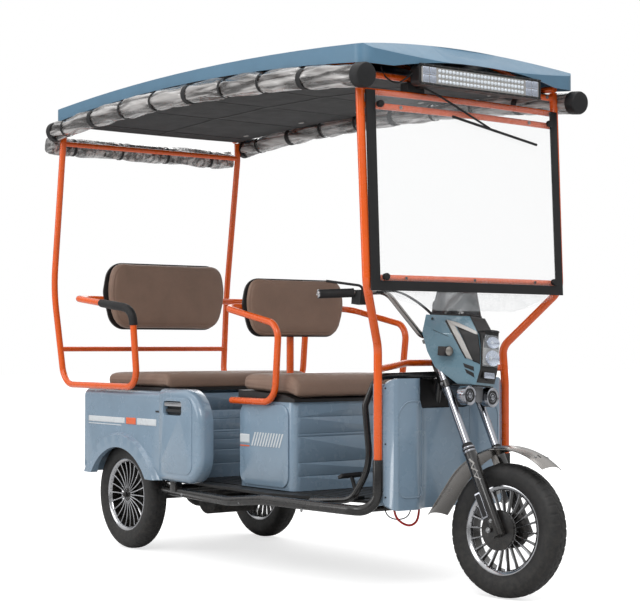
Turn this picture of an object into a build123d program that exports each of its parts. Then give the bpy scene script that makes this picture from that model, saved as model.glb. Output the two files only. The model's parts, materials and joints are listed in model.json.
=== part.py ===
from build123d import *
import os
from collections import namedtuple
from math import cos, radians, sin

# Electric rickshaw: one steered front wheel, two driven rear wheels, tube frame, two seats, canopy.
# Millimetres. +X is forward, +Y the vehicle's left, +Z up, z = 0 the ground.
os.makedirs("parts", exist_ok=True)

# Driving dimensions
WHEEL_RADIUS = 247
TYRE_WIDTH = 95
RIM_FLANGE_RADIUS = 165
RIM_HALF_WIDTH = 37
WHEELBASE = 2090
REAR_AXLE_X = -884
REAR_TRACK = 740
RAKE = 28.2
AXLE_LEAD = 40
STEER_AT_REST = 10.4
FLOOR_TOP = 340
BODY_HALF_WIDTH = 455
ROOF_HALF_WIDTH = 545
ROOF_PEAK = 2083
RAIL_HALF_SPACING = 489
WALL = 5
SEAT_GAP = 0.3

# Tube radii
POST_RADIUS = 16
LOOP_RADIUS = 15
ARM_RADIUS = 14
RAIL_RADIUS = 12.5
BOW_RADIUS = 9
BASE_TUBE_RADIUS = 20
HANDLEBAR_RADIUS = 11

# Sides of the vehicle, as factors of y
RIGHT = -1
LEFT = 1

# Wheel centres and the steering axis, which leans back and passes behind the front axle
FRONT_AXLE_X = REAR_AXLE_X + WHEELBASE
AXIS_UP = Vector(-sin(radians(RAKE)), 0, cos(radians(RAKE)))
AXIS_AHEAD = Vector(cos(radians(RAKE)), 0, sin(radians(RAKE)))
CROWN_HALF_FLAT = 14
LEAN = sin(radians(STEER_AT_REST)) * sin(radians(RAKE))
LEAD_DROP = AXLE_LEAD * (1 - cos(radians(STEER_AT_REST))) * sin(radians(RAKE))
FRONT_AXLE_Z = WHEEL_RADIUS * (1 - LEAN**2) ** 0.5 + CROWN_HALF_FLAT * LEAN + LEAD_DROP
FRONT_CENTRE = Vector(FRONT_AXLE_X, 0, FRONT_AXLE_Z)
AXIS_FOOT = FRONT_CENTRE - AXIS_AHEAD * AXLE_LEAD
STEERING_AXIS = Axis(AXIS_FOOT, AXIS_UP)


def bent_tube(points, bend_radii, radius, bore=0):
    """Round tube along straight runs that tangent arcs join, or a sleeve if it has a bore."""
    with BuildPart() as tube:
        with BuildLine() as path:
            FilletPolyline(*points, radius=bend_radii)
        with BuildSketch(Plane(origin=path.line @ 0, z_dir=path.line % 0)):
            Circle(radius)
            if bore:
                Circle(bore, mode=Mode.SUBTRACT)
        sweep()
    return tube.part


def straight_tube(start, end, radius, bore=0):
    """Round bar from one point to another, or a sleeve if it has a bore."""
    run = Vector(*end) - Vector(*start)
    with BuildPart() as tube:
        with BuildSketch(Plane(origin=start, z_dir=run)):
            Circle(radius)
            if bore:
                Circle(bore, mode=Mode.SUBTRACT)
        extrude(amount=run.length)
    return tube.part


def mirrored(points, side):
    """The points of the right side, or their mirror images on the left."""
    return [(x, y * side * RIGHT, z) for x, y, z in points]


def on_axis(ahead, across, up):
    """Point of the straight-ahead front end, measured from the foot of the steering axis."""
    return AXIS_FOOT + AXIS_AHEAD * ahead + AXIS_UP * up + Vector(0, across, 0)


def up_axis(z):
    """Distance along the steering axis to a height above the ground."""
    return (z - AXIS_FOOT.Z) / AXIS_UP.Z


def turned(part):
    """The piece swung from straight ahead to where it rests."""
    return part.rotate(STEERING_AXIS, STEER_AT_REST)


# Wheels
# Outer half section of the tyre: distance from its middle plane, radius
TYRE_SECTION = [
    (CROWN_HALF_FLAT, WHEEL_RADIUS),
    (36, WHEEL_RADIUS - 9),
    (TYRE_WIDTH / 2, WHEEL_RADIUS - 34),
    (TYRE_WIDTH / 2, RIM_FLANGE_RADIUS + 24),
    (RIM_HALF_WIDTH - 0.5, RIM_FLANGE_RADIUS + SEAT_GAP),
]
BEAD_RADIUS = RIM_FLANGE_RADIUS - 13
BARREL_THICKNESS = 4
SPOKE_COUNT = 22
SPOKE_WIDTH = 5
HUB_RADIUS = 30
HUB_BORE = 8.3
DRUM_RADIUS = 66
SPOKE_REACH = 29
REAR_HUB_HALF = 42
FRONT_HUB_HALF = 46


def tyre_part(centre):
    """Crowned tyre on its bead seats, around an axle along Y."""
    outline = TYRE_SECTION + [(RIM_HALF_WIDTH - 5.5, BEAD_RADIUS)]
    outline += [(-across, radius) for across, radius in reversed(outline)]
    with BuildPart() as tyre:
        with BuildSketch(Plane(origin=centre, x_dir=(0, 1, 0), z_dir=(1, 0, 0))):
            with BuildLine():
                Polyline(*outline, close=True)
            make_face()
        revolve(axis=Axis(centre, (0, 1, 0)))
    return tyre.part


def rim_part(centre, outer_side, hub_half_length, cap_length):
    """Rim with a rolled flange, a ring of thin radial spokes and a hub with a drum on the inner side."""
    inner_side = -outer_side
    barrel = BEAD_RADIUS - BARREL_THICKNESS
    with BuildPart() as rim:
        with BuildSketch(Plane(origin=centre, x_dir=(0, 1, 0), z_dir=(1, 0, 0))):
            with BuildLine():
                Polyline(
                    (-RIM_HALF_WIDTH, RIM_FLANGE_RADIUS),
                    (-RIM_HALF_WIDTH, barrel - 2),
                    (RIM_HALF_WIDTH, barrel - 2),
                    (RIM_HALF_WIDTH, RIM_FLANGE_RADIUS),
                    (RIM_HALF_WIDTH - 4, BEAD_RADIUS - SEAT_GAP),
                    (4 - RIM_HALF_WIDTH, BEAD_RADIUS - SEAT_GAP),
                    close=True,
                )
            make_face()
        revolve(axis=Axis(centre, (0, 1, 0)))
        with BuildSketch(Plane(origin=centre, x_dir=(1, 0, 0), z_dir=(0, outer_side, 0))):
            Circle(HUB_RADIUS)
        extrude(amount=hub_half_length, both=True)
        with BuildSketch(
            Plane(origin=centre, x_dir=(1, 0, 0), z_dir=(0, outer_side, 0)).offset(hub_half_length)
        ):
            Circle(HUB_RADIUS - 8)
        extrude(amount=cap_length, taper=8)
        with BuildSketch(Plane(origin=centre, x_dir=(1, 0, 0), z_dir=(0, inner_side, 0)).offset(14)):
            Circle(DRUM_RADIUS)
        extrude(amount=hub_half_length - 14)
        with BuildSketch(Plane(origin=centre, x_dir=(1, 0, 0), z_dir=(0, outer_side, 0))):
            with PolarLocations((HUB_RADIUS + barrel) / 2 - 2, SPOKE_COUNT):
                Rectangle(barrel - HUB_RADIUS + 5, SPOKE_WIDTH)
        extrude(amount=SPOKE_REACH)
        with Locations(Plane(origin=centre, z_dir=(0, 1, 0))):
            Cylinder(HUB_BORE, 4 * hub_half_length, mode=Mode.SUBTRACT)
    return rim.part


WHEEL_CENTRES = {
    "rear_right": Vector(REAR_AXLE_X, -REAR_TRACK / 2, WHEEL_RADIUS),
    "rear_left": Vector(REAR_AXLE_X, REAR_TRACK / 2, WHEEL_RADIUS),
}
for name, side in (("rear_right", RIGHT), ("rear_left", LEFT)):
    with BuildPart() as tyre:
        add(tyre_part(WHEEL_CENTRES[name]))
    tyre.part.label = name + "_tyre"
    export_step(tyre.part, "parts/" + name + "_tyre.step")
    with BuildPart() as rim:
        add(rim_part(WHEEL_CENTRES[name], side, REAR_HUB_HALF, 14))
    rim.part.label = name + "_rim"
    export_step(rim.part, "parts/" + name + "_rim.step")

with BuildPart() as front_tyre:
    add(turned(tyre_part(FRONT_CENTRE)))
front_tyre.part.label = "front_tyre"
export_step(front_tyre.part, "parts/front_tyre.step")

with BuildPart() as front_rim:
    add(turned(rim_part(FRONT_CENTRE, LEFT, FRONT_HUB_HALF, 4)))
front_rim.part.label = "front_rim"
export_step(front_rim.part, "parts/front_rim.step")

# Chassis: black tubes under the floor, sockets for the front posts, head tube and rear rails
SOCKET_TOP = 501
SOCKET_X = 856
SOCKET_Y = 328
SIDE_TUBE = [
    (-560, -392, 292),
    (33, -448, 290),
    (252, -436, 312),
    (775, -396, 312),
    (SOCKET_X, -SOCKET_Y, 306),
    (SOCKET_X, -SOCKET_Y, SOCKET_TOP),
]
SHIELD_TUBE = [
    (520, -392, 326),
    (700, -331, 340),
    (776, -300, 470),
    (742, -298, 700),
    (768, -262, 812),
    (838, -16, 818),
]
CROSS_TUBES = [(-540, 392, 292), (-110, 430, 291), (330, 420, 310.7), (740, 360, 308)]
HEAD_TUBE_RADIUS = 29
STEM_RADIUS = 13
STEM_CLEARANCE = 1
HEAD_LOW = up_axis(765)
HEAD_HIGH = up_axis(872)
DOWN_TUBE = [(740, 0, 308), on_axis(-30, 0, (HEAD_LOW + HEAD_HIGH) / 2)]
DOWN_TUBE_RADIUS = 22
FRAME_RAIL_Y = 235
AXLE_RADIUS = 32
SPRING_EYES_X = (REAR_AXLE_X + 248, REAR_AXLE_X - 250)
EYE_Z = 341
EYE_RADIUS = 9
QUARTER_BOTTOM = 338

side_tubes = [bent_tube(mirrored(SIDE_TUBE, side), [300, 300, 60, 75], BASE_TUBE_RADIUS) for side in (RIGHT, LEFT)]
shield_tubes = [bent_tube(mirrored(SHIELD_TUBE, side), [70, 200, 45, 60], 13) for side in (RIGHT, LEFT)]
rear_rails = [
    bent_tube(
        [
            (-480, side * FRAME_RAIL_Y, 300),
            (-530, side * FRAME_RAIL_Y, 300),
            (-640, side * FRAME_RAIL_Y, 385),
            (-1150, side * FRAME_RAIL_Y, 395),
        ],
        [60, 80],
        18,
    )
    for side in (RIGHT, LEFT)
]
with BuildPart() as chassis:
    for tube in side_tubes + shield_tubes + rear_rails:
        add(tube)
    for x, half_length, z in CROSS_TUBES:
        add(straight_tube((x, -half_length, z), (x, half_length, z), 15))
    add(straight_tube((-480, -405, 300), (-480, 405, 300), 16))
    for x in (-640, -1120):
        add(straight_tube((x, -FRAME_RAIL_Y, 385), (x, FRAME_RAIL_Y, 385), 15))
    for side in (RIGHT, LEFT):
        for x in SPRING_EYES_X:
            with Locations((x, side * FRAME_RAIL_Y, EYE_Z + EYE_RADIUS + SEAT_GAP)):
                Box(24, 30, 30, align=(Align.CENTER, Align.CENTER, Align.MIN))
        with Locations((-440, side * 412, QUARTER_BOTTOM - SEAT_GAP)):
            Box(44, 34, 45, align=(Align.CENTER, Align.CENTER, Align.MAX))
    add(straight_tube(*DOWN_TUBE, DOWN_TUBE_RADIUS))
    add(straight_tube(on_axis(0, 0, HEAD_LOW), on_axis(0, 0, HEAD_HIGH), HEAD_TUBE_RADIUS))
    with Locations(Plane(origin=on_axis(0, 0, (HEAD_LOW + HEAD_HIGH) / 2), z_dir=AXIS_UP)):
        Cylinder(STEM_RADIUS + STEM_CLEARANCE, 300, mode=Mode.SUBTRACT)
chassis.part.label = "chassis"
export_step(chassis.part, "parts/chassis.step")

# Posts and hoops, orange tube
RAIL_ARCH_RADIUS = 16435
RAIL_PEAK = 2018
ROOF_PEAK_X = -400


def rail_height(x):
    """Centre height of the roof rails, which are arcs about an axis far below the floor."""
    return RAIL_PEAK - RAIL_ARCH_RADIUS + (RAIL_ARCH_RADIUS**2 - (x - ROOF_PEAK_X) ** 2) ** 0.5


FRONT_POST_X = 960
REAR_POST_X = -1318


def post_top(x):
    """Height where a post's flat end meets the underside of the sloping rail."""
    slope = abs(x - ROOF_PEAK_X) / RAIL_ARCH_RADIUS
    return rail_height(x) - RAIL_RADIUS - SEAT_GAP - slope * POST_RADIUS


FRONT_POST = [
    (FRONT_POST_X, -500, post_top(FRONT_POST_X)),
    (966, -500, 1830),
    (997, -494, 1150),
    (849, -322, 925),
    (SOCKET_X, -SOCKET_Y, 780),
    (SOCKET_X, -SOCKET_Y, SOCKET_TOP),
]
GLASS_BOW = 25
# Bowed cross bars between the front posts: x and height at the posts
WINDSCREEN_BARS = [(964, 1863), (967, 1811), (995, 1178)]
KNEE_BAR = [(850, -326, 840), (768, -110, 863), (768, 110, 863), (850, 326, 840)]

front_posts = [bent_tube(mirrored(FRONT_POST, side), [600, 90, 70, 300], POST_RADIUS) for side in (RIGHT, LEFT)]
bars = []
for x, z in WINDSCREEN_BARS:
    with BuildPart() as bar:
        with BuildLine() as bow:
            ThreePointArc((x, -498, z), (x + GLASS_BOW, 0, z), (x, 498, z))
        with BuildSketch(Plane(origin=bow.line @ 0, z_dir=bow.line % 0)):
            Circle(12)
        sweep()
    bars.append(bar.part)
with BuildPart() as front_hoop:
    for tube in front_posts + bars:
        add(tube)
    add(bent_tube(KNEE_BAR, [90, 90], 13))
    add(straight_tube((FRONT_POST_X + 2, -498, 1927), (FRONT_POST_X + 2, 498, 1927), 12))
front_hoop.part.label = "front_hoop"
export_step(front_hoop.part, "parts/front_hoop.step")

REAR_SHELL_X = -1226
REAR_LOOP = [
    (REAR_POST_X, -500, post_top(REAR_POST_X)),
    (REAR_POST_X - 4, -505, 1890),
    (-1418, -502, 1205),
    (-1386, -460, 744.3),
    (-694, -460, 744.3),
    (-694, -486, 1096),
    (-1168, -506, 1152),
    (REAR_SHELL_X - LOOP_RADIUS - 2, -420, 1155),
    (REAR_SHELL_X - LOOP_RADIUS - 2, -240, 1155),
]
REAR_BARS = [(-1322, 503, 1901), (-1397, 472, 914)]
ARM_BEND_RADIUS = 75
REAR_BENDS = [300, 900, 90, 85, ARM_BEND_RADIUS, 60, 60]
rear_loops = [bent_tube(mirrored(REAR_LOOP, side), REAR_BENDS, LOOP_RADIUS) for side in (RIGHT, LEFT)]
with BuildPart() as rear_hoop:
    for tube in rear_loops:
        add(tube)
    for x, half_length, z in REAR_BARS:
        add(straight_tube((x, -half_length, z), (x, half_length, z), 12))
    for side in (RIGHT, LEFT):
        with Locations((REAR_SHELL_X - 5.2, side * 275, 1155)):
            Box(9.8, 70, 60)
rear_hoop.part.label = "rear_hoop"
export_step(rear_hoop.part, "parts/rear_hoop.step")

# Driver's seat frame: two arm loops welded to a post behind the backrest
BOX_REAR_X = -97
BOX_FRONT_X = 300
BOX_HALF_WIDTH = 320
BOX_TOP = 700
ARM_Y = BOX_HALF_WIDTH + ARM_RADIUS + SEAT_GAP
DRIVER_SHELL_X = -142
ARM_TUBE_X = DRIVER_SHELL_X - ARM_RADIUS - SEAT_GAP
ARM_LOOP = [
    (BOX_REAR_X - 22, -ARM_Y, BOX_TOP - 1),
    (196, -ARM_Y, BOX_TOP - 1),
    (232, -ARM_Y - 6, 1016),
    (ARM_TUBE_X, -ARM_Y - 12, 1092),
    (ARM_TUBE_X, -240, 1098),
    (ARM_TUBE_X, 0, 1098),
]
SEAT_POST_RADIUS = 16
SEAT_POST_X = DRIVER_SHELL_X - SEAT_POST_RADIUS - SEAT_GAP
arm_loops = [bent_tube(mirrored(ARM_LOOP, side), [85, 70, 50, 30], ARM_RADIUS) for side in (RIGHT, LEFT)]
with BuildPart() as driver_seat_frame:
    for tube in arm_loops:
        add(tube)
    add(straight_tube((SEAT_POST_X, 0, 470), (SEAT_POST_X, 0, 1105), SEAT_POST_RADIUS))
    with BuildSketch(Plane.YZ.offset(SEAT_POST_X)):
        with Locations((0, 510), (0, 610)):
            Rectangle(60, 50)
    extrude(amount=BOX_REAR_X - SEAT_GAP - SEAT_POST_X)
driver_seat_frame.part.label = "driver_seat_frame"
export_step(driver_seat_frame.part, "parts/driver_seat_frame.step")

# Floor board between the side tubes, with a ribbed top
FLOOR_REAR_X = -512
RIB_REAR_X = -495
RIB_FRONT_X = 680
RIB_HEIGHT = 3
FLOOR_THICKNESS = 14
FLOOR_OUTLINE = [(FLOOR_REAR_X, 366), (250, 404), (480, 350), (640, 305), (700, 284), (824, 280)]
FLOOR_RIB_PITCH = 44
FLOOR_RIB_COUNT = 14
with BuildPart() as floor_board:
    with BuildSketch(Plane.XY.offset(FLOOR_TOP - FLOOR_THICKNESS)):
        with BuildLine():
            Polyline(*FLOOR_OUTLINE, *[(x, -y) for x, y in reversed(FLOOR_OUTLINE)], close=True)
        make_face()
    extrude(amount=FLOOR_THICKNESS - RIB_HEIGHT)
    with BuildSketch(Plane.XY.offset(FLOOR_TOP - RIB_HEIGHT)):
        with Locations(((RIB_REAR_X + RIB_FRONT_X) / 2, 0)):
            with GridLocations(1, FLOOR_RIB_PITCH, 1, FLOOR_RIB_COUNT):
                Rectangle(RIB_FRONT_X - RIB_REAR_X, FLOOR_RIB_PITCH - 12)
    extrude(amount=RIB_HEIGHT)
    add(straight_tube(*DOWN_TUBE, DOWN_TUBE_RADIUS + 1), mode=Mode.SUBTRACT)
floor_board.part.label = "floor_board"
export_step(floor_board.part, "parts/floor_board.step")

# Rear body: quarter panels with flared arches, wings beside the footwell, bulkhead and back wall
BODY_REAR_X = -1182
SEAM_X = -505
WING_FRONT_X = -172
QUARTER_TOP = 729
DECK_Y = 408
ARCH_X = -848
ARCH_Z = 171
ARCH_RADIUS = 297
FLARE_RADIUS = 372
FLARE_DEPTH = 20
SHOULDER_RADIUS = 34


def quarter_section(inset):
    """Section of a right quarter panel, drawn in Y and Z: flat side, curved shoulder, flat top."""
    outer = -(BODY_HALF_WIDTH - inset)
    with BuildSketch(Plane.YZ) as section:
        with BuildLine():
            Line((-DECK_Y + 60, QUARTER_BOTTOM - inset), (outer + 12, QUARTER_BOTTOM - inset))
            Line((outer + 12, QUARTER_BOTTOM - inset), (outer, QUARTER_BOTTOM + 60))
            Line((outer, QUARTER_BOTTOM + 60), (outer, QUARTER_TOP - inset - SHOULDER_RADIUS))
            RadiusArc(
                (outer, QUARTER_TOP - inset - SHOULDER_RADIUS),
                (outer + SHOULDER_RADIUS, QUARTER_TOP - inset),
                SHOULDER_RADIUS,
            )
            Line((outer + SHOULDER_RADIUS, QUARTER_TOP - inset), (-DECK_Y + 60, QUARTER_TOP - inset))
            Line((-DECK_Y + 60, QUARTER_TOP - inset), (-DECK_Y + 60, QUARTER_BOTTOM - inset))
        make_face()
    return section.sketch


def quarter_panel(side):
    """Quarter panel from the back wall to the seam, open inwards and over the wheel."""
    with BuildPart() as panel:
        add(extrude(quarter_section(0).moved(Location((BODY_REAR_X, 0, 0))), SEAM_X - BODY_REAR_X))
        with BuildSketch(Plane.XZ.offset(BODY_HALF_WIDTH - FLARE_DEPTH)):
            with Locations((ARCH_X, ARCH_Z)):
                Circle(FLARE_RADIUS)
        extrude(amount=2 * FLARE_DEPTH, taper=24)
        split(bisect_by=Plane.XY.offset(QUARTER_BOTTOM))
        add(
            extrude(quarter_section(WALL).moved(Location((BODY_REAR_X - 1, 0, 0))), SEAM_X - BODY_REAR_X + 2),
            mode=Mode.SUBTRACT,
        )
        with BuildSketch(Plane.XZ.offset(0)):
            with Locations((ARCH_X, ARCH_Z)):
                Circle(ARCH_RADIUS)
        extrude(amount=600, mode=Mode.SUBTRACT)
    part = panel.part
    return part if side == RIGHT else part.mirror(Plane.XZ)


with BuildPart() as rear_quarters:
    for side in (RIGHT, LEFT):
        add(quarter_panel(side))
rear_quarters.part.label = "rear_quarters"
export_step(rear_quarters.part, "parts/rear_quarters.step")

WING_TOP = 742
WING_INNER_Y = 392
WING_OUTER_Y = BODY_HALF_WIDTH + 4
DOOR_EMBOSS = 3
HANDLE_X = (-467, -318)
HANDLE_Z = (628, 690)
with BuildPart() as wing:
    with BuildSketch(Plane.XZ.offset(WING_INNER_Y)):
        with BuildLine():
            Line((SEAM_X + SEAT_GAP, QUARTER_BOTTOM), (-290, QUARTER_BOTTOM))
            RadiusArc((-290, QUARTER_BOTTOM), (WING_FRONT_X, QUARTER_BOTTOM + 125), -125)
            Line((WING_FRONT_X, QUARTER_BOTTOM + 125), (WING_FRONT_X, WING_TOP - 150))
            RadiusArc((WING_FRONT_X, WING_TOP - 150), (WING_FRONT_X - 150, WING_TOP), -150)
            Line((WING_FRONT_X - 150, WING_TOP), (SEAM_X + SEAT_GAP, WING_TOP))
            Line((SEAM_X + SEAT_GAP, WING_TOP), (SEAM_X + SEAT_GAP, QUARTER_BOTTOM))
        make_face()
    extrude(amount=WING_OUTER_Y - WING_INNER_Y)
    fillet(wing.edges().filter_by_position(Axis.Y, -WING_OUTER_Y - 1, -WING_OUTER_Y + 1).filter_by(
        lambda edge: edge.center().X > SEAM_X + 20), 30)
    with BuildSketch(Plane.XZ.offset(WING_OUTER_Y)):
        with Locations(((SEAM_X + WING_FRONT_X) / 2 - 22, (QUARTER_BOTTOM + WING_TOP) / 2 + 2)):
            RectangleRounded(WING_FRONT_X - SEAM_X - 84, WING_TOP - QUARTER_BOTTOM - 76, 48)
    extrude(amount=DOOR_EMBOSS)
    with BuildSketch(Plane.XZ.offset(WING_OUTER_Y + DOOR_EMBOSS)):
        with Locations((sum(HANDLE_X) / 2, sum(HANDLE_Z) / 2)):
            RectangleRounded(HANDLE_X[1] - HANDLE_X[0], HANDLE_Z[1] - HANDLE_Z[0], 16)
    extrude(amount=-26, mode=Mode.SUBTRACT)
with BuildPart() as rear_wings:
    add(wing.part)
    mirror(about=Plane.XZ)
rear_wings.part.label = "rear_wings"
export_step(rear_wings.part, "parts/rear_wings.step")

BULKHEAD_GROOVES = [400, 462, 508, 540, 552, 600, 640]
with BuildPart() as rear_bulkhead:
    with BuildSketch(Plane.XY.offset(FLOOR_TOP - RIB_HEIGHT + SEAT_GAP)):
        with Locations((SEAM_X - 3, 0)):
            Rectangle(WALL, 2 * (WING_INNER_Y - 46))
    extrude(amount=QUARTER_TOP - 12 - FLOOR_TOP + RIB_HEIGHT)
    for z in BULKHEAD_GROOVES:
        with Locations((SEAM_X - 0.5, 0, z)):
            Box(2, 2 * BODY_HALF_WIDTH, 4, mode=Mode.SUBTRACT)
rear_bulkhead.part.label = "rear_bulkhead"
export_step(rear_bulkhead.part, "parts/rear_bulkhead.step")

LAMP_Y = 372
LAMP_Z = 560
with BuildPart() as rear_wall:
    with BuildSketch(Plane.YZ.offset(BODY_REAR_X - WALL - SEAT_GAP)):
        with Locations((0, (QUARTER_TOP + QUARTER_BOTTOM) / 2)):
            RectangleRounded(2 * BODY_HALF_WIDTH, QUARTER_TOP - QUARTER_BOTTOM, SHOULDER_RADIUS)
    extrude(amount=WALL)
    with BuildSketch(Plane.YZ.offset(BODY_REAR_X - WALL - SEAT_GAP)):
        with Locations((0, 600)):
            RectangleRounded(520, 150, 30)
    extrude(amount=-6)
    with BuildSketch(Plane.YZ.offset(BODY_REAR_X - WALL - SEAT_GAP)):
        with Locations((0, 440)):
            Rectangle(240, 110)
    extrude(amount=-12)
    plate_plane = Plane(origin=(BODY_REAR_X - WALL - SEAT_GAP - 12, 0, 440), x_dir=(0, 1, 0), z_dir=(-1, 0, 0))
    with Locations(plate_plane):
        with GridLocations(180, 70, 2, 2):
            Hole(4.5, 40)
rear_wall.part.label = "rear_wall"
export_step(rear_wall.part, "parts/rear_wall.step")

LAMP_SEAT_X = BODY_REAR_X - WALL - 2 * SEAT_GAP
with BuildPart() as tail_lamps:
    with BuildSketch(Plane(origin=(LAMP_SEAT_X, 0, LAMP_Z), x_dir=(0, 1, 0), z_dir=(-1, 0, 0))):
        with Locations((LAMP_Y, 0), (-LAMP_Y, 0)):
            RectangleRounded(90, 180, 24)
    extrude(amount=26, taper=10)
tail_lamps.part.label = "tail_lamps"
export_step(tail_lamps.part, "parts/tail_lamps.step")

# Underbody: axle with drive motor, leaf springs
SPRING_Y = FRAME_RAIL_Y
MOTOR_X = REAR_AXLE_X + 120
DRUM_PLATE_Y = REAR_TRACK / 2 - REAR_HUB_HALF - 6
with BuildPart() as rear_axle:
    add(straight_tube((REAR_AXLE_X, -DRUM_PLATE_Y, WHEEL_RADIUS), (REAR_AXLE_X, DRUM_PLATE_Y, WHEEL_RADIUS), AXLE_RADIUS))
    with Locations((REAR_AXLE_X, 0, WHEEL_RADIUS)):
        Sphere(78)
    add(straight_tube((MOTOR_X, -40, WHEEL_RADIUS - 20), (MOTOR_X, 190, WHEEL_RADIUS - 20), 82))
    with Locations(((REAR_AXLE_X + MOTOR_X) / 2, 10, WHEEL_RADIUS - 10)):
        Box(MOTOR_X - REAR_AXLE_X, 90, 100)
    for side in (RIGHT, LEFT):
        start = (REAR_AXLE_X, side * DRUM_PLATE_Y, WHEEL_RADIUS)
        add(straight_tube((REAR_AXLE_X, side * (DRUM_PLATE_Y - 10), WHEEL_RADIUS), start, DRUM_RADIUS + 8))
        end = (REAR_AXLE_X, side * (REAR_TRACK / 2 + REAR_HUB_HALF + 8), WHEEL_RADIUS)
        add(straight_tube(start, end, HUB_BORE - SEAT_GAP))
        with Locations((REAR_AXLE_X, side * SPRING_Y, WHEEL_RADIUS + AXLE_RADIUS + 4)):
            Box(110, 60, 16)
rear_axle.part.label = "rear_axle"
export_step(rear_axle.part, "parts/rear_axle.step")

SPRING_SEAT = WHEEL_RADIUS + AXLE_RADIUS + 12 + SEAT_GAP
SPRING_FRONT_X, SPRING_REAR_X = SPRING_EYES_X
LEAF_THICKNESS = 9
with BuildPart() as leaf_springs:
    for side in (RIGHT, LEFT):
        with BuildSketch(Plane.XZ.offset(-side * SPRING_Y - 25)):
            with BuildLine():
                for rise in (0, LEAF_THICKNESS):
                    ThreePointArc(
                        (SPRING_FRONT_X, EYE_Z - 5 + rise),
                        (REAR_AXLE_X, SPRING_SEAT + rise),
                        (SPRING_REAR_X, EYE_Z - 5 + rise),
                    )
                for x in SPRING_EYES_X:
                    Line((x, EYE_Z - 5), (x, EYE_Z - 5 + LEAF_THICKNESS))
            make_face()
            with Locations(*[(x, EYE_Z) for x in SPRING_EYES_X]):
                Circle(EYE_RADIUS)
        extrude(amount=50)
leaf_springs.part.label = "leaf_springs"
export_step(leaf_springs.part, "parts/leaf_springs.step")

# Driver's box on the floor, with the battery inside it
GROOVE_DEPTH = 2
with BuildPart() as driver_box:
    with BuildSketch(Plane.XY.offset(FLOOR_TOP + SEAT_GAP)):
        with Locations(((BOX_REAR_X + BOX_FRONT_X) / 2, 0)):
            RectangleRounded(BOX_FRONT_X - BOX_REAR_X, 2 * BOX_HALF_WIDTH - 12, 34)
    extrude(amount=BOX_TOP - FLOOR_TOP - SEAT_GAP)
    for side in (RIGHT, LEFT):
        with BuildSketch(Plane.XZ.offset(-side * (BOX_HALF_WIDTH - 6))):
            with Locations(((BOX_REAR_X + BOX_FRONT_X) / 2 - 6, (BOX_TOP + FLOOR_TOP) / 2)):
                RectangleRounded(BOX_FRONT_X - BOX_REAR_X - 52, BOX_TOP - FLOOR_TOP - 24, 46)
        extrude(amount=-side * 6)
    for z in (400, 455, 560, 572, 640):
        with Locations((BOX_FRONT_X, 0, z)):
            Box(2 * GROOVE_DEPTH, 2 * BOX_HALF_WIDTH, 4, mode=Mode.SUBTRACT)
    with BuildSketch(Plane.XY.offset(FLOOR_TOP)):
        with Locations(((BOX_REAR_X + BOX_FRONT_X) / 2, 0)):
            RectangleRounded(BOX_FRONT_X - BOX_REAR_X - 2 * WALL, 2 * BOX_HALF_WIDTH - 12 - 2 * WALL, 29)
    extrude(amount=BOX_TOP - FLOOR_TOP - 4, mode=Mode.SUBTRACT)
driver_box.part.label = "driver_box"
export_step(driver_box.part, "parts/driver_box.step")

BATTERY_SIZE = (330, 520, 225)
with BuildPart() as battery:
    with Locations(((BOX_REAR_X + BOX_FRONT_X) / 2, 0, FLOOR_TOP + SEAT_GAP + BATTERY_SIZE[2] / 2)):
        Box(*BATTERY_SIZE)
battery.part.label = "battery"
export_step(battery.part, "parts/battery.step")

# Seats: black base pans, soft cushions, backrests on black shells
BASE_TOP = 743
PAN_FRONT_X = -553
DRIVER_PAN = [(BOX_REAR_X + 2, 0), (BOX_FRONT_X + 8, 0), (BOX_FRONT_X + 8, 12), (238, 28), (BOX_REAR_X + 2, 43)]
REAR_PAN_Z = QUARTER_TOP + SEAT_GAP
with BuildPart() as seat_bases:
    with BuildSketch(Plane.XZ.offset(-BOX_HALF_WIDTH + 4)):
        with BuildLine():
            Polyline(*[(x, BOX_TOP + SEAT_GAP + rise) for x, rise in DRIVER_PAN], close=True)
        make_face()
    extrude(amount=2 * BOX_HALF_WIDTH - 8)
    with BuildSketch(Plane.XY.offset(REAR_PAN_Z)):
        with Locations(((BODY_REAR_X + PAN_FRONT_X) / 2 + 6, 0)):
            RectangleRounded(PAN_FRONT_X - BODY_REAR_X - 12, 2 * DECK_Y - 6, 20)
    extrude(amount=BASE_TOP - REAR_PAN_Z)
seat_bases.part.label = "seat_bases"
export_step(seat_bases.part, "parts/seat_bases.step")

DRIVER_CUSHION = [
    (-90, BASE_TOP + 1),
    (238, BOX_TOP + 29.5),
    (BOX_FRONT_X + 9, BOX_TOP + 13.5),
    (BOX_FRONT_X + 20, 730),
    (BOX_FRONT_X + 8, 792),
    (262, 815),
    (-70, 812),
    (-92, 790),
]
REAR_CUSHION = [
    (-1092, BASE_TOP + SEAT_GAP),
    (PAN_FRONT_X + SEAT_GAP, BASE_TOP + SEAT_GAP),
    (PAN_FRONT_X + SEAT_GAP, QUARTER_TOP + 4),
    (PAN_FRONT_X + 14, QUARTER_TOP + 1),
    (PAN_FRONT_X + 14, 790),
    (PAN_FRONT_X - 14, 813),
    (-1072, 806),
    (-1094, 790),
]
# Name, side profile in X and Z, half width
for name, profile, half_width in (
    ("driver_cushion", DRIVER_CUSHION, 312),
    ("rear_cushion", REAR_CUSHION, 400),
):
    with BuildPart() as cushion:
        with BuildSketch(Plane.XZ.offset(-half_width)):
            with BuildLine():
                Polyline(*profile, close=True)
            make_face()
        extrude(amount=2 * half_width)
    cushion.part.label = name
    export_step(cushion.part, "parts/" + name + ".step")

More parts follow.
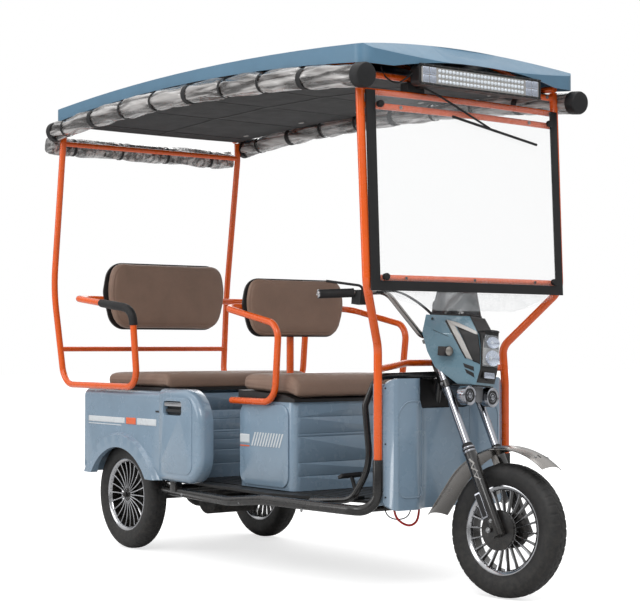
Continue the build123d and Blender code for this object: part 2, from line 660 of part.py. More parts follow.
Backrest = namedtuple("Backrest", "name front_x thickness shell_x half_outline corner")
BACKRESTS = [
    Backrest("driver_backrest", -102, 30, DRIVER_SHELL_X, [(232, 965), (275, 1105), (250, 1225)], 78),
    Backrest("rear_backrest", -1163, 52, REAR_SHELL_X, [(300, 1005), (346, 1185), (318, 1335)], 95),
]


def backrest_slab(half_outline, corner, inset, start_x, end_x):
    """Upright slab whose outline is the half outline and its mirror image, with round corners."""
    points = [(-y, z) for y, z in half_outline] + [(y, z) for y, z in reversed(half_outline)]
    with BuildPart() as slab:
        with BuildSketch(Plane.YZ.offset(start_x)) as outline:
            with BuildLine():
                Polyline(*points, close=True)
            make_face()
            fillet(outline.vertices(), corner)
            if inset:
                offset(amount=-inset, mode=Mode.REPLACE)
        extrude(amount=end_x - start_x)
    return slab.part


for rest in BACKRESTS:
    with BuildPart() as backrest:
        add(backrest_slab(rest.half_outline, rest.corner, 0, rest.front_x - rest.thickness, rest.front_x))
    backrest.part.label = rest.name
    export_step(backrest.part, "parts/" + rest.name + ".step")
with BuildPart() as backrest_shells:
    for rest in BACKRESTS:
        end_x = rest.front_x - rest.thickness - SEAT_GAP
        add(backrest_slab(rest.half_outline, rest.corner, 4, rest.shell_x, end_x))
backrest_shells.part.label = "backrest_shells"
export_step(backrest_shells.part, "parts/backrest_shells.step")

# Foam pads round the front bends of the rear arms
PAD_RADIUS = 19.5
PAD_SHARE_OF_POST = 0.21
PAD_SHARE_OF_ARM = 0.58
with BuildPart() as arm_pads:
    for side in (RIGHT, LEFT):
        foot, bend, back = [Vector(*point) for point in mirrored(REAR_LOOP, side)[4:7]]
        start, end = bend + (foot - bend) * PAD_SHARE_OF_POST, bend + (back - bend) * PAD_SHARE_OF_ARM
        add(bent_tube([start, bend, end], ARM_BEND_RADIUS, PAD_RADIUS, LOOP_RADIUS + SEAT_GAP))
arm_pads.part.label = "arm_pads"
export_step(arm_pads.part, "parts/arm_pads.step")

# Leg shield: hollow in the middle for the front wheel, notched round the head tube
SHIELD_BOTTOM = 308
SHIELD_TOP = 806
SHIELD_HALF_WIDTH = 312
SHIELD_PLAN = [(792, -294), (856, -304), (884, -262), (890, -165), (846, -96), (846, 96)]
SHIELD_PLAN += [(x, -y) for x, y in SHIELD_PLAN[3::-1]]
SHIELD_BENDS = [12, 38, 42, 60, 60, 42, 38, 12]
NOTCH_HALF_WIDTH = 141
NOTCH_BOTTOM = 690
LEDGE = [(826, -294), (860, -294), (882, -250), (886, -168), (846, -100), (826, -100)]
LEDGE_Z = 334
with BuildPart() as leg_shield:
    with BuildSketch(Plane.XY.offset(SHIELD_BOTTOM)):
        with BuildLine() as plan:
            FilletPolyline(*SHIELD_PLAN, radius=SHIELD_BENDS)
        trace(plan.line, 2 * WALL)
    extrude(amount=SHIELD_TOP - SHIELD_BOTTOM)
    with BuildSketch(Plane.YZ.offset(700)) as front_view:
        with Locations((0, (SHIELD_BOTTOM + SHIELD_TOP) / 2)):
            RectangleRounded(2 * SHIELD_HALF_WIDTH, SHIELD_TOP - SHIELD_BOTTOM, 60)
        with Locations((0, (NOTCH_BOTTOM + SHIELD_TOP) / 2 + 50)):
            RectangleRounded(2 * NOTCH_HALF_WIDTH, SHIELD_TOP - NOTCH_BOTTOM + 100, 40, mode=Mode.SUBTRACT)
    extrude(amount=260, mode=Mode.INTERSECT)
    with BuildSketch(Plane.XY.offset(LEDGE_Z)):
        with BuildLine():
            Polyline(*LEDGE, close=True)
        make_face()
    extrude(amount=4)
leg_shield.part.label = "leg_shield"
export_step(leg_shield.part, "parts/leg_shield.step")

# Brake pedal: tee pad on a slanted stem
PEDAL_FOOT = (663, -272, FLOOR_TOP + SEAT_GAP)
PEDAL_STEM = (662, -272.5, FLOOR_TOP + 6)
PEDAL_HEAD = (640, -285, 428)
with BuildPart() as brake_pedal:
    add(straight_tube(PEDAL_STEM, PEDAL_HEAD, 8))
    with Locations(PEDAL_FOOT):
        Box(44, 36, 10, align=(Align.CENTER, Align.CENTER, Align.MIN))
    with Locations(Plane(origin=PEDAL_HEAD, x_dir=(0, 1, 0.3), z_dir=(-0.4, 0, 1))):
        Box(104, 34, 12)
brake_pedal.part.label = "brake_pedal"
export_step(brake_pedal.part, "parts/brake_pedal.step")

# Roof: shell arched fore and aft, frame of rails and bows, fabric lining, thin solar modules
ROOF_ARCH_RADIUS = 16500
ROOF_CROWN = 40
ROOF_REAR_X = -1345
ROOF_FRONT_X = 1041
ROOF_FRONT_BOW = 42
SKIRT_ARCH_RADIUS = 12500
SKIRT_PEAK = 2034
ARCH_AXIS = Axis((ROOF_PEAK_X, 0, ROOF_PEAK - ROOF_ARCH_RADIUS), (0, 1, 0))
ARCH_SPAN = 6
CROWN_HALF_WIDTH = ROOF_HALF_WIDTH + 5


def arch_sheet(half_width, top, crown, depth):
    """Band of the roof's arch: a crowned section carried about the arch's far axis."""
    low = top - depth
    with BuildPart() as band:
        with BuildSketch(Plane.YZ.offset(ROOF_PEAK_X)):
            with BuildLine():
                ThreePointArc((-half_width, top), (0, top + crown), (half_width, top))
                Line((half_width, top), (half_width, low))
                if depth > crown:
                    Line((half_width, low), (-half_width, low))
                else:
                    ThreePointArc((half_width, low), (0, low + crown), (-half_width, low))
                Line((-half_width, low), (-half_width, top))
            make_face()
        revolve(axis=ARCH_AXIS, revolution_arc=2 * ARCH_SPAN)
    return band.part.rotate(ARCH_AXIS, -ARCH_SPAN)


def roof_plan(inset):
    """Plan of the roof: straight sides, bowed front edge, round corners."""
    half = ROOF_HALF_WIDTH - inset
    front = ROOF_FRONT_X - inset
    with BuildSketch() as plan:
        with BuildLine():
            Line((ROOF_REAR_X + inset, -half), (front, -half))
            ThreePointArc((front, -half), (front + ROOF_FRONT_BOW, 0), (front, half))
            Line((front, half), (ROOF_REAR_X + inset, half))
            Line((ROOF_REAR_X + inset, half), (ROOF_REAR_X + inset, -half))
        make_face()
        fillet(plan.vertices(), 60 - inset)
    return plan.sketch


def roof_block(inset):
    """The roof as a solid block, or the hollow inside a wall of the given thickness."""
    with BuildPart() as block:
        add(extrude(roof_plan(inset).moved(Location((0, 0, 1800))), 500))
        add(arch_sheet(CROWN_HALF_WIDTH, ROOF_PEAK - inset, ROOF_CROWN, 260), mode=Mode.INTERSECT)
        with BuildSketch(Plane.XZ.offset(-ROOF_HALF_WIDTH - 50)):
            with BuildLine():
                Polyline(
                    (ROOF_FRONT_X - 66 - inset, 2200),
                    (ROOF_FRONT_X - 66 - inset, 2062),
                    (ROOF_FRONT_X + 60 - inset, 1966),
                    (ROOF_FRONT_X + 200, 1966),
                    (ROOF_FRONT_X + 200, 2200),
                    close=True,
                )
            make_face()
        extrude(amount=2 * ROOF_HALF_WIDTH + 100, mode=Mode.SUBTRACT)
    return block.part


with BuildPart() as roof_shell:
    add(roof_block(0))
    with BuildSketch(Plane.XZ.offset(-ROOF_HALF_WIDTH - 50)):
        with BuildLine():
            rear_z = SKIRT_PEAK - (ROOF_REAR_X - 200 - ROOF_PEAK_X) ** 2 / (2 * SKIRT_ARCH_RADIUS)
            front_z = SKIRT_PEAK - (ROOF_FRONT_X + 200 - ROOF_PEAK_X) ** 2 / (2 * SKIRT_ARCH_RADIUS)
            ThreePointArc((ROOF_REAR_X - 200, rear_z), (ROOF_PEAK_X, SKIRT_PEAK), (ROOF_FRONT_X + 200, front_z))
            Polyline(
                (ROOF_FRONT_X + 200, front_z),
                (ROOF_FRONT_X + 200, 1700),
                (ROOF_REAR_X - 200, 1700),
                (ROOF_REAR_X - 200, rear_z),
            )
        make_face()
    extrude(amount=2 * ROOF_HALF_WIDTH + 100, mode=Mode.SUBTRACT)
    add(roof_block(WALL), mode=Mode.SUBTRACT)
    with BuildSketch(Plane.YZ.offset(ROOF_FRONT_X - 150)):
        with BuildLine():
            ThreePointArc((-460, 1940), (0, 1988), (460, 1940))
            Line((460, 1940), (-460, 1940))
        make_face()
    extrude(amount=300, mode=Mode.SUBTRACT)
roof_shell.part.label = "roof_shell"
export_step(roof_shell.part, "parts/roof_shell.step")

BOW_STATIONS = [-1180, -760, -340, 80, 500, 880]
ROOF_INSIDE = ROOF_PEAK + ROOF_CROWN - WALL


def arch_drop(x):
    """How far the roof's arch has come down from its peak at a station."""
    return ROOF_ARCH_RADIUS - (ROOF_ARCH_RADIUS**2 - (x - ROOF_PEAK_X) ** 2) ** 0.5


with BuildPart() as roof_frame:
    for side in (RIGHT, LEFT):
        rail_ends = [(x, side * RAIL_HALF_SPACING, rail_height(x)) for x in (REAR_POST_X - 14, FRONT_POST_X + 20)]
        with BuildLine() as rail:
            ThreePointArc(rail_ends[0], (-180, side * RAIL_HALF_SPACING, rail_height(-180)), rail_ends[1])
        with BuildSketch(Plane(origin=rail.line @ 0, z_dir=rail.line % 0)):
            Circle(RAIL_RADIUS)
        sweep(path=rail.line)
    for x in BOW_STATIONS:
        low, high = rail_height(x), ROOF_INSIDE - arch_drop(x) - BOW_RADIUS - 1
        with BuildLine() as bow:
            ThreePointArc((x, -RAIL_HALF_SPACING, low), (x, 0, high), (x, RAIL_HALF_SPACING, low))
        with BuildSketch(Plane(origin=bow.line @ 0, z_dir=bow.line % 0)):
            Circle(BOW_RADIUS)
        sweep(path=bow.line)
roof_frame.part.label = "roof_frame"
export_step(roof_frame.part, "parts/roof_frame.step")

LINING_THICKNESS = 3
LINING_DROP = RAIL_RADIUS + SEAT_GAP
LINING_HALF_WIDTH = RAIL_HALF_SPACING - 1
LINING_ENDS = (REAR_POST_X + 30, FRONT_POST_X - 30)
with BuildPart() as roof_lining:
    with BuildSketch(Plane.XZ.offset(-LINING_HALF_WIDTH)):
        with BuildLine():
            for drop in (LINING_DROP, LINING_DROP + LINING_THICKNESS):
                rear_end, front_end = [(x, rail_height(x) - drop) for x in LINING_ENDS]
                ThreePointArc(rear_end, (ROOF_PEAK_X, RAIL_PEAK - drop), front_end)
            for x in LINING_ENDS:
                height = rail_height(x) - LINING_DROP
                Line((x, height), (x, height - LINING_THICKNESS))
        make_face()
    extrude(amount=2 * LINING_HALF_WIDTH)
roof_lining.part.label = "roof_lining"
export_step(roof_lining.part, "parts/roof_lining.step")

SOLAR_CENTRES = [-960, -260, 440]
SOLAR_LENGTH = 640
SOLAR_WIDTH = 900
with BuildPart() as solar_modules:
    add(arch_sheet(CROWN_HALF_WIDTH, ROOF_PEAK + SEAT_GAP + 3, ROOF_CROWN, 3))
    with BuildSketch(Plane.XY.offset(1900)):
        with Locations(*[(x, 0) for x in SOLAR_CENTRES]):
            RectangleRounded(SOLAR_LENGTH, SOLAR_WIDTH, 12)
    extrude(amount=500, mode=Mode.INTERSECT)
solar_modules.part.label = "solar_modules"
export_step(solar_modules.part, "parts/solar_modules.step")

# Side and rear curtains rolled up under the eaves, dented where they press on the posts
ROLL_RADIUS = 46
ROLL_Y = 548
ROLL_DROP = ROLL_RADIUS + 1
SIDE_ROLL_ENDS = (-1330, 1058)
REAR_ROLL_RADIUS = 48
REAR_ROLL = ((-1385.4, -551, 1897), (-1385.4, 501, 1897))
ROLL_DENT_Z = 1900
ROLL_DENT_LENGTH = 50
ROLL_DENT_Y = 500 + POST_RADIUS + 5


def skirt_height(x):
    """Lower edge of the roof's side skirt."""
    return SKIRT_PEAK - (x - ROOF_PEAK_X) ** 2 / (2 * SKIRT_ARCH_RADIUS)


with BuildPart() as curtain_rolls:
    for side in (RIGHT, LEFT):
        first, middle, last = [
            (x, side * ROLL_Y, skirt_height(x) - ROLL_DROP) for x in (SIDE_ROLL_ENDS[0], ROOF_PEAK_X, SIDE_ROLL_ENDS[1])
        ]
        with BuildLine() as roll:
            ThreePointArc(first, middle, last)
        with BuildSketch(Plane(origin=roll.line @ 0, z_dir=roll.line % 0)):
            Circle(ROLL_RADIUS)
        sweep(path=roll.line)
    for x in (FRONT_POST_X, REAR_POST_X):
        with Locations((x, 0, ROLL_DENT_Z)):
            Box(ROLL_DENT_LENGTH, 2 * ROLL_DENT_Y, 400, mode=Mode.SUBTRACT)
    add(straight_tube(*REAR_ROLL, REAR_ROLL_RADIUS))
curtain_rolls.part.label = "curtain_rolls"
export_step(curtain_rolls.part, "parts/curtain_rolls.step")

# Windscreen: bowed clear sheet leaning back, bound on three sides, with a clear flap below
GLASS_THICKNESS = 3
GLASS_HALF_WIDTH = 487
GLASS_LOW = 1131
GLASS_HIGH = 1866
GLASS_X_LOW = 1018
GLASS_X_HIGH = 986
GLASS_SLOPE = (GLASS_X_HIGH - GLASS_X_LOW) / (GLASS_HIGH - GLASS_LOW)
FLAP_LOW = 1060
TRIM_WIDTH = 36
TRIM_THICKNESS = 2.5
TRIM_LIP = 3


def glass_x(y, z):
    """Middle surface of the windscreen."""
    return GLASS_X_LOW + GLASS_SLOPE * (z - GLASS_LOW) + GLASS_BOW * (1 - (y / GLASS_HALF_WIDTH) ** 2)


def bowed_sheet(thickness, reach):
    """Sheet of the windscreen's curvature, wider than the screen by the reach on each side."""
    half = GLASS_HALF_WIDTH + reach
    low = FLAP_LOW - 20
    with BuildPart() as sheet:
        with BuildSketch(Plane.XY.offset(low)):
            with BuildLine() as bow:
                ThreePointArc((glass_x(half, low), -half), (glass_x(0, low), 0), (glass_x(half, low), half))
            trace(bow.line, thickness)
        extrude(amount=GLASS_HIGH + 40 - low, dir=Vector(GLASS_SLOPE, 0, 1))
    return sheet.part


GLASS_OUTLINE = [
    (-GLASS_HALF_WIDTH, GLASS_HIGH),
    (-GLASS_HALF_WIDTH, GLASS_LOW),
    (-440, GLASS_LOW),
    (-200, FLAP_LOW),
    (200, FLAP_LOW),
    (440, GLASS_LOW),
    (GLASS_HALF_WIDTH, GLASS_LOW),
    (GLASS_HALF_WIDTH, GLASS_HIGH),
]
with BuildPart() as windshield:
    add(bowed_sheet(GLASS_THICKNESS, 0))
    with BuildSketch(Plane.YZ.offset(900)):
        with BuildLine():
            Polyline(*GLASS_OUTLINE, close=True)
        make_face()
    extrude(amount=300, mode=Mode.INTERSECT)
windshield.part.label = "windshield"
export_step(windshield.part, "parts/windshield.step")

KNOB_RADIUS = 12
KNOB_LENGTH = 14
KNOBS = [(435, 1815), (430, 1181)]
GLASS_MIDDLE_Z = (GLASS_LOW + GLASS_HIGH) / 2
with BuildPart() as windshield_trim:
    add(bowed_sheet(GLASS_THICKNESS + 2 * TRIM_THICKNESS, TRIM_LIP))
    with BuildSketch(Plane.YZ.offset(900)):
        with Locations((0, GLASS_MIDDLE_Z)):
            Rectangle(2 * (GLASS_HALF_WIDTH + TRIM_LIP), GLASS_HIGH - GLASS_LOW)
        with Locations((0, GLASS_MIDDLE_Z + TRIM_WIDTH)):
            Rectangle(2 * (GLASS_HALF_WIDTH - TRIM_WIDTH), GLASS_HIGH - GLASS_LOW, mode=Mode.SUBTRACT)
    extrude(amount=300, mode=Mode.INTERSECT)
    with BuildPart(mode=Mode.PRIVATE) as glass_slot:
        add(bowed_sheet(GLASS_THICKNESS + 2 * SEAT_GAP, SEAT_GAP))
    add(glass_slot.part, mode=Mode.SUBTRACT)
    for y, z in KNOBS:
        for side in (RIGHT, LEFT):
            slant = Vector(1, side * 2 * GLASS_BOW * y / GLASS_HALF_WIDTH**2, -GLASS_SLOPE).normalized()
            seat = Vector(glass_x(y, z), side * y, z) + slant * (GLASS_THICKNESS / 2 + SEAT_GAP)
            add(straight_tube(seat, seat + slant * KNOB_LENGTH, KNOB_RADIUS))
windshield_trim.part.label = "windshield_trim"
export_step(windshield_trim.part, "parts/windshield_trim.step")

# Wiper: motor on the screen's top bar, cranked arm, long blade
WIPER_X = 1023
WIPER_Y = -249
WIPER_Z = 1892
WIPER_ARM = [(985, WIPER_Y, WIPER_Z), (WIPER_X, WIPER_Y, WIPER_Z), (WIPER_X, -154, 1862), (WIPER_X, 91, 1766)]
WIPER_BLADE = [(1026, -101, 1794), (1018, 348, 1722)]
with BuildPart() as wiper:
    add(bent_tube(WIPER_ARM, [10, 12], 4))
    add(straight_tube(*WIPER_BLADE, 5))
    with Locations((966, WIPER_Y, WINDSCREEN_BARS[0][1] + 12 + SEAT_GAP)):
        Box(44, 80, 35, align=(Align.CENTER, Align.CENTER, Align.MIN))
wiper.part.label = "wiper"
export_step(wiper.part, "parts/wiper.step")

# Light bar above the windscreen on two brackets
LIGHT_BAR_X = (1030, 1078)
LIGHT_BAR_Z = (1890, 1967)
LIGHT_BAR_HALF = 313
with BuildPart() as light_bar:
    with BuildSketch(Plane.YZ.offset(LIGHT_BAR_X[0])):
        with Locations((0, sum(LIGHT_BAR_Z) / 2)):
            RectangleRounded(2 * LIGHT_BAR_HALF, LIGHT_BAR_Z[1] - LIGHT_BAR_Z[0], 18)
    extrude(amount=LIGHT_BAR_X[1] - LIGHT_BAR_X[0])
    for y in (-150, 150):
        with Locations(((FRONT_POST_X + 14.3 + LIGHT_BAR_X[0]) / 2, y, 1932)):
            Box(LIGHT_BAR_X[0] - FRONT_POST_X - 14.3, 30, 20)
light_bar.part.label = "light_bar"
export_step(light_bar.part, "parts/light_bar.step")

# Steering group, drawn straight ahead and then swung to its rest
LEG_N = 57
LEG_Y = 88
SLIDER_RADIUS = 23
LEG_RADIUS = 14
SLIDER_SPAN = (-30, 306)
LOWER_CLAMP = (576, 604)
UPPER_CLAMP = (739, 765)
CLAMP_EDGE = 21
LAMP_SHELF_Z = 777.7
HANDLEBAR = [(541, -400, 1094), (645, -260, 1114), (667, -150, 1129), (764, -40, 967)]
HANDLEBAR += [(x, -y, z) for x, y, z in reversed(HANDLEBAR)]
BAR_MIDDLE = Vector(764, 0, 967) - AXIS_FOOT
BAR_UP = BAR_MIDDLE.dot(AXIS_UP)
BAR_AHEAD = BAR_MIDDLE.dot(AXIS_AHEAD)


def clamp_plate(span):
    """Clamp joining the stem and both fork legs, narrow at the stem and wide at the legs."""
    with BuildPart() as clamp:
        with BuildSketch(Plane(origin=on_axis(0, 0, span[0]), x_dir=AXIS_AHEAD, z_dir=AXIS_UP)):
            with Locations((LEG_N, LEG_Y), (LEG_N, -LEG_Y)):
                Circle(CLAMP_EDGE)
            Circle(24)
            with BuildLine():
                Polyline(
                    (-10, 22),
                    (LEG_N - 12, LEG_Y + 17),
                    (LEG_N + CLAMP_EDGE, LEG_Y),
                    (LEG_N + CLAMP_EDGE, -LEG_Y),
                    (LEG_N - 12, -LEG_Y - 17),
                    (-10, -22),
                    close=True,
                )
            make_face()
            with Locations((LEG_N, LEG_Y), (LEG_N, -LEG_Y)):
                Circle(LEG_RADIUS + SEAT_GAP, mode=Mode.SUBTRACT)
        extrude(amount=span[1] - span[0])
    return clamp.part


with BuildPart() as steering_stem:
    add(clamp_plate(LOWER_CLAMP))
    add(clamp_plate(UPPER_CLAMP))
    add(straight_tube(on_axis(0, 0, LOWER_CLAMP[0]), on_axis(0, 0, UPPER_CLAMP[1]), STEM_RADIUS))
    add(straight_tube(on_axis(-4, 0, UPPER_CLAMP[0]), on_axis(BAR_AHEAD, 0, BAR_UP - HANDLEBAR_RADIUS - 2), 16))
    bar_seat = on_axis(BAR_AHEAD, 0, BAR_UP - HANDLEBAR_RADIUS - SEAT_GAP - 7)
    with Locations(Plane(origin=bar_seat, x_dir=AXIS_AHEAD, z_dir=AXIS_UP)):
        Box(36, 40, 14)
    with Locations((1003, 0, LAMP_SHELF_Z)):
        Box(82, 150, 4)
    add(straight_tube((972, 0, LAMP_SHELF_Z), on_axis(30, 0, LOWER_CLAMP[0] + 14), 10))
steering_stem.part = turned(steering_stem.part)
steering_stem.part.label = "steering_stem"
export_step(steering_stem.part, "parts/steering_stem.step")

FRONT_AXLE_RADIUS = HUB_BORE - SEAT_GAP
with BuildPart() as fork_legs:
    for side in (RIGHT, LEFT):
        across = side * LEG_Y
        add(straight_tube(on_axis(LEG_N, across, SLIDER_SPAN[0]), on_axis(LEG_N, across, SLIDER_SPAN[1]), SLIDER_RADIUS))
        add(straight_tube(on_axis(LEG_N, across, 300), on_axis(LEG_N, across, UPPER_CLAMP[1] + 6), LEG_RADIUS))
        spacer_start = on_axis(AXLE_LEAD, side * (FRONT_HUB_HALF + 6), 0)
        add(straight_tube(spacer_start, on_axis(AXLE_LEAD, side * (LEG_Y - 10), 0), 15))
    add(straight_tube(on_axis(AXLE_LEAD, -LEG_Y - 32, 0), on_axis(AXLE_LEAD, LEG_Y + 32, 0), FRONT_AXLE_RADIUS))
    plate_ends = [on_axis(AXLE_LEAD, -across, 0) for across in (FRONT_HUB_HALF + 2.5, FRONT_HUB_HALF + 18)]
    add(straight_tube(*plate_ends, DRUM_RADIUS + 8))
fork_legs.part = turned(fork_legs.part)
fork_legs.part.label = "fork_legs"
export_step(fork_legs.part, "parts/fork_legs.step")

FENDER_RADIUS = 312
FENDER_HALF_WIDTH = 60
FENDER_CROWN = 16
FENDER_ANGLES = (52, 100, 146)
FENDER_TAIL = 165
FENDER_THICKNESS = 2.5
with BuildPart() as front_fender:
    with BuildLine() as fender_path:
        fender_points = [
            FRONT_CENTRE + Vector(cos(radians(angle)), 0, sin(radians(angle))) * FENDER_RADIUS for angle in FENDER_ANGLES
        ]
        crown_arc = ThreePointArc(*fender_points)
        Line(crown_arc @ 1, crown_arc @ 1 + (crown_arc % 1) * FENDER_TAIL)
    with BuildSketch(Plane(origin=crown_arc @ 0, x_dir=(0, -1, 0), z_dir=crown_arc % 0)) as fender_section:
        with BuildLine() as crown_line:
            ThreePointArc((-FENDER_HALF_WIDTH, -FENDER_CROWN), (0, 0), (FENDER_HALF_WIDTH, -FENDER_CROWN))
        trace(crown_line.line, FENDER_THICKNESS)
    sweep(path=fender_path.line)
    for side in (RIGHT, LEFT):
        lug = on_axis(LEG_N - 4, side * (LEG_Y - SLIDER_RADIUS - SEAT_GAP - 5), 286)
        with Locations(Plane(origin=lug, x_dir=AXIS_AHEAD, z_dir=AXIS_UP)):
            Box(24, 10, 46)
front_fender.part = turned(front_fender.part)
front_fender.part.label = "front_fender"
export_step(front_fender.part, "parts/front_fender.step")

# Fairing sections: height, rear x, rear half width, nose x, nose half width
FAIRING = [
    (1040, 855, 125, 1005, 45),
    (970, 850, 135, 1055, 50),
    (900, 875, 130, 1072, 52),
    (840, 905, 114, 1075, 52),
    (780, 985, 70, 1060, 55),
]
LAMP_HALF_WIDTH = 44
LAMP_SPAN = (862, 985)
LOW_LAMP_Z = 817
LOW_LAMP_RADIUS = 18
TURN_LAMP = (950, 122, 900)
FAIRING_HEIGHTS = [section[0] for section in FAIRING]
FAIRING_WALL = 4
FAIRING_HOLLOW = [FAIRING_HEIGHTS[0] - FAIRING_WALL] + FAIRING_HEIGHTS[1:-1] + [FAIRING_HEIGHTS[-1] - 10]


def fairing_block(inset, rear_reach, heights):
    """Solid of the fairing's outline, drawn in by the inset and lengthened rearwards by the reach."""
    with BuildPart() as block:
        for (z, rear_x, rear_half, nose_x, nose_half), height in zip(FAIRING, heights):
            rear_half += rear_reach * (rear_half - nose_half) / (nose_x - rear_x)
            with BuildSketch(Plane.XY.offset(height)):
                with BuildLine():
                    Polyline(
                        (rear_x - rear_reach, inset - rear_half),
                        (nose_x - inset, inset - nose_half),
                        (nose_x - inset, nose_half - inset),
                        (rear_x - rear_reach, rear_half - inset),
                        close=True,
                    )
                make_face()
        loft(ruled=True)
    return block.part


with BuildPart() as fairing:
    add(fairing_block(0, 0, FAIRING_HEIGHTS))
    add(fairing_block(FAIRING_WALL, 30, FAIRING_HOLLOW), mode=Mode.SUBTRACT)
    with Locations((1060, 0, sum(LAMP_SPAN) / 2)):
        Box(120, 2 * LAMP_HALF_WIDTH, LAMP_SPAN[1] - LAMP_SPAN[0], mode=Mode.SUBTRACT)
    lamp_hole = straight_tube((1000, 0, LOW_LAMP_Z), (1100, 0, LOW_LAMP_Z), LOW_LAMP_RADIUS + SEAT_GAP)
    add(lamp_hole, mode=Mode.SUBTRACT)
fairing.part = turned(fairing.part)
fairing.part.label = "fairing"
export_step(fairing.part, "parts/fairing.step")

with BuildPart() as front_lamps:
    for side in (RIGHT, LEFT):
        with Locations((TURN_LAMP[0], side * TURN_LAMP[1], TURN_LAMP[2])):
            Box(44, 34, 34)
    fillet(front_lamps.edges().filter_by(Axis.Z), 14)
    for side in (RIGHT, LEFT):
        inner = (TURN_LAMP[0], side * 60, TURN_LAMP[2])
        outer = (TURN_LAMP[0], side * TURN_LAMP[1], TURN_LAMP[2])
        add(straight_tube(inner, outer, 8))
    add(fairing_block(-SEAT_GAP, 0, FAIRING_HEIGHTS), mode=Mode.SUBTRACT)
    with Locations((1050, 0, sum(LAMP_SPAN) / 2)):
        Box(60, 2 * (LAMP_HALF_WIDTH - SEAT_GAP), LAMP_SPAN[1] - LAMP_SPAN[0] - 2 * SEAT_GAP)
    add(straight_tube((1040, 0, LOW_LAMP_Z), (1078, 0, LOW_LAMP_Z), LOW_LAMP_RADIUS))
front_lamps.part = turned(front_lamps.part)
front_lamps.part.label = "front_lamps"
export_step(front_lamps.part, "parts/front_lamps.step")

SCREEN_BOTTOM = (905, 92, 997, 1040.3)
SCREEN_TOP = (898, 84, 978, 1138)
with BuildPart() as fairing_screen:
    for inset in (0, GLASS_THICKNESS):
        with BuildPart(mode=Mode.SUBTRACT if inset else Mode.ADD):
            for (edge_x, half, nose_x, z), reach in ((SCREEN_BOTTOM, -inset), (SCREEN_TOP, inset)):
                with BuildSketch(Plane.XY.offset(z + reach)):
                    with BuildLine():
                        ThreePointArc((edge_x - inset, inset - half), (nose_x - inset, 0), (edge_x - inset, half - inset))
                        Line((edge_x - inset, half - inset), (edge_x - inset, inset - half))
                    make_face()
            loft(ruled=True)
fairing_screen.part = turned(fairing_screen.part)
fairing_screen.part.label = "fairing_screen"
export_step(fairing_screen.part, "parts/fairing_screen.step")

HORN_RADIUS = 37
HORN_CENTRE = (1028, 70, LAMP_SHELF_Z - 2 - SEAT_GAP - HORN_RADIUS)
with BuildPart() as horns:
    for side in (RIGHT, LEFT):
        start = (HORN_CENTRE[0] - 15, side * HORN_CENTRE[1], HORN_CENTRE[2])
        end = (HORN_CENTRE[0] + 15, side * HORN_CENTRE[1], HORN_CENTRE[2])
        add(straight_tube(start, end, HORN_RADIUS))
    with Locations((1020, 0, 745)):
        Box(8, 100, 16)
    with Locations((1026, 0, 745)):
        Box(4, 60, 58)
horns.part = turned(horns.part)
horns.part.label = "horns"
export_step(horns.part, "parts/horns.step")

with BuildPart() as handlebar:
    add(bent_tube(HANDLEBAR, [120, 60, 30, 30, 60, 120], HANDLEBAR_RADIUS))
handlebar.part = turned(handlebar.part)
handlebar.part.label = "handlebar"
export_step(handlebar.part, "parts/handlebar.step")

GRIP_RADIUS = 17
GRIP_SHARE = 0.78
LEVER = [(648, -268, 1098), (664, -284, 1136), (562, -384, 1146)]
with BuildPart() as hand_grips:
    for side in (RIGHT, LEFT):
        outer, inner = [Vector(*point) for point in mirrored(HANDLEBAR[:2], side)]
        add(straight_tube(outer, outer + (inner - outer) * GRIP_SHARE, GRIP_RADIUS))
        with Locations((640, side * 273, 1092)):
            Box(46, 40, 52)
        add(bent_tube(mirrored(LEVER, side), [20], 5))
    add(bent_tube(HANDLEBAR, [120, 60, 30, 30, 60, 120], HANDLEBAR_RADIUS + SEAT_GAP), mode=Mode.SUBTRACT)
hand_grips.part = turned(hand_grips.part)
hand_grips.part.label = "hand_grips"
export_step(hand_grips.part, "parts/hand_grips.step")

# Leads with clips, hanging from the leg shield's ledge
LEAD_X = 843
RED_LEAD = [(-240, LEDGE_Z), (-240, 286), (-190, 248), (-146, 242), (-113, 270), (-113, LEDGE_Z)]
BLACK_LEAD = [(-277, LEDGE_Z), (-277, 292), (-214, 264), (-143, 280), (-143, LEDGE_Z)]
# Name, path in Y and Z, bend radii, tube radius, x
for name, points, bend_radii, radius, x in (
    ("red_lead", RED_LEAD, [24, 40, 24, 24], 4.5, LEAD_X),
    ("black_lead", BLACK_LEAD, [24, 60, 24], 2.3, LEAD_X - 11),
):
    with BuildPart() as lead:
        add(bent_tube([(x, y, z) for y, z in points], bend_radii, radius))
    lead.part.label = name
    export_step(lead.part, "parts/" + name + ".step")
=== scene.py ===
import json
import logging
import math
from dataclasses import dataclass, field
from enum import Enum
from typing import Sequence

import bmesh
import bpy
import numpy as np
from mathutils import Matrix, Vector


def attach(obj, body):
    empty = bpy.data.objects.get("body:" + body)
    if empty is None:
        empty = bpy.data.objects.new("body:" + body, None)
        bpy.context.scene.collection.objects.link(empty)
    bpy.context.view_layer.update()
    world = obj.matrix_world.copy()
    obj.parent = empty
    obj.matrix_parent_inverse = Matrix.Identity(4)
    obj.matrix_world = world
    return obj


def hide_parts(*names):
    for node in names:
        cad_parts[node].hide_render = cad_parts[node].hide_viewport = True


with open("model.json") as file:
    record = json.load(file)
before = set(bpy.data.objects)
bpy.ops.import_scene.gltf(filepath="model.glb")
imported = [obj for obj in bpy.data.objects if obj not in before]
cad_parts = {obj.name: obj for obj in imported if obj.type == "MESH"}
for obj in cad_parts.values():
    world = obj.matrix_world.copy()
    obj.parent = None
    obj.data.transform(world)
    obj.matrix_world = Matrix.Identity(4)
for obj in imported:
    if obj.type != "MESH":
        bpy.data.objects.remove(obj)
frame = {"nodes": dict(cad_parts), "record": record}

LOG = logging.getLogger("rickshaw")
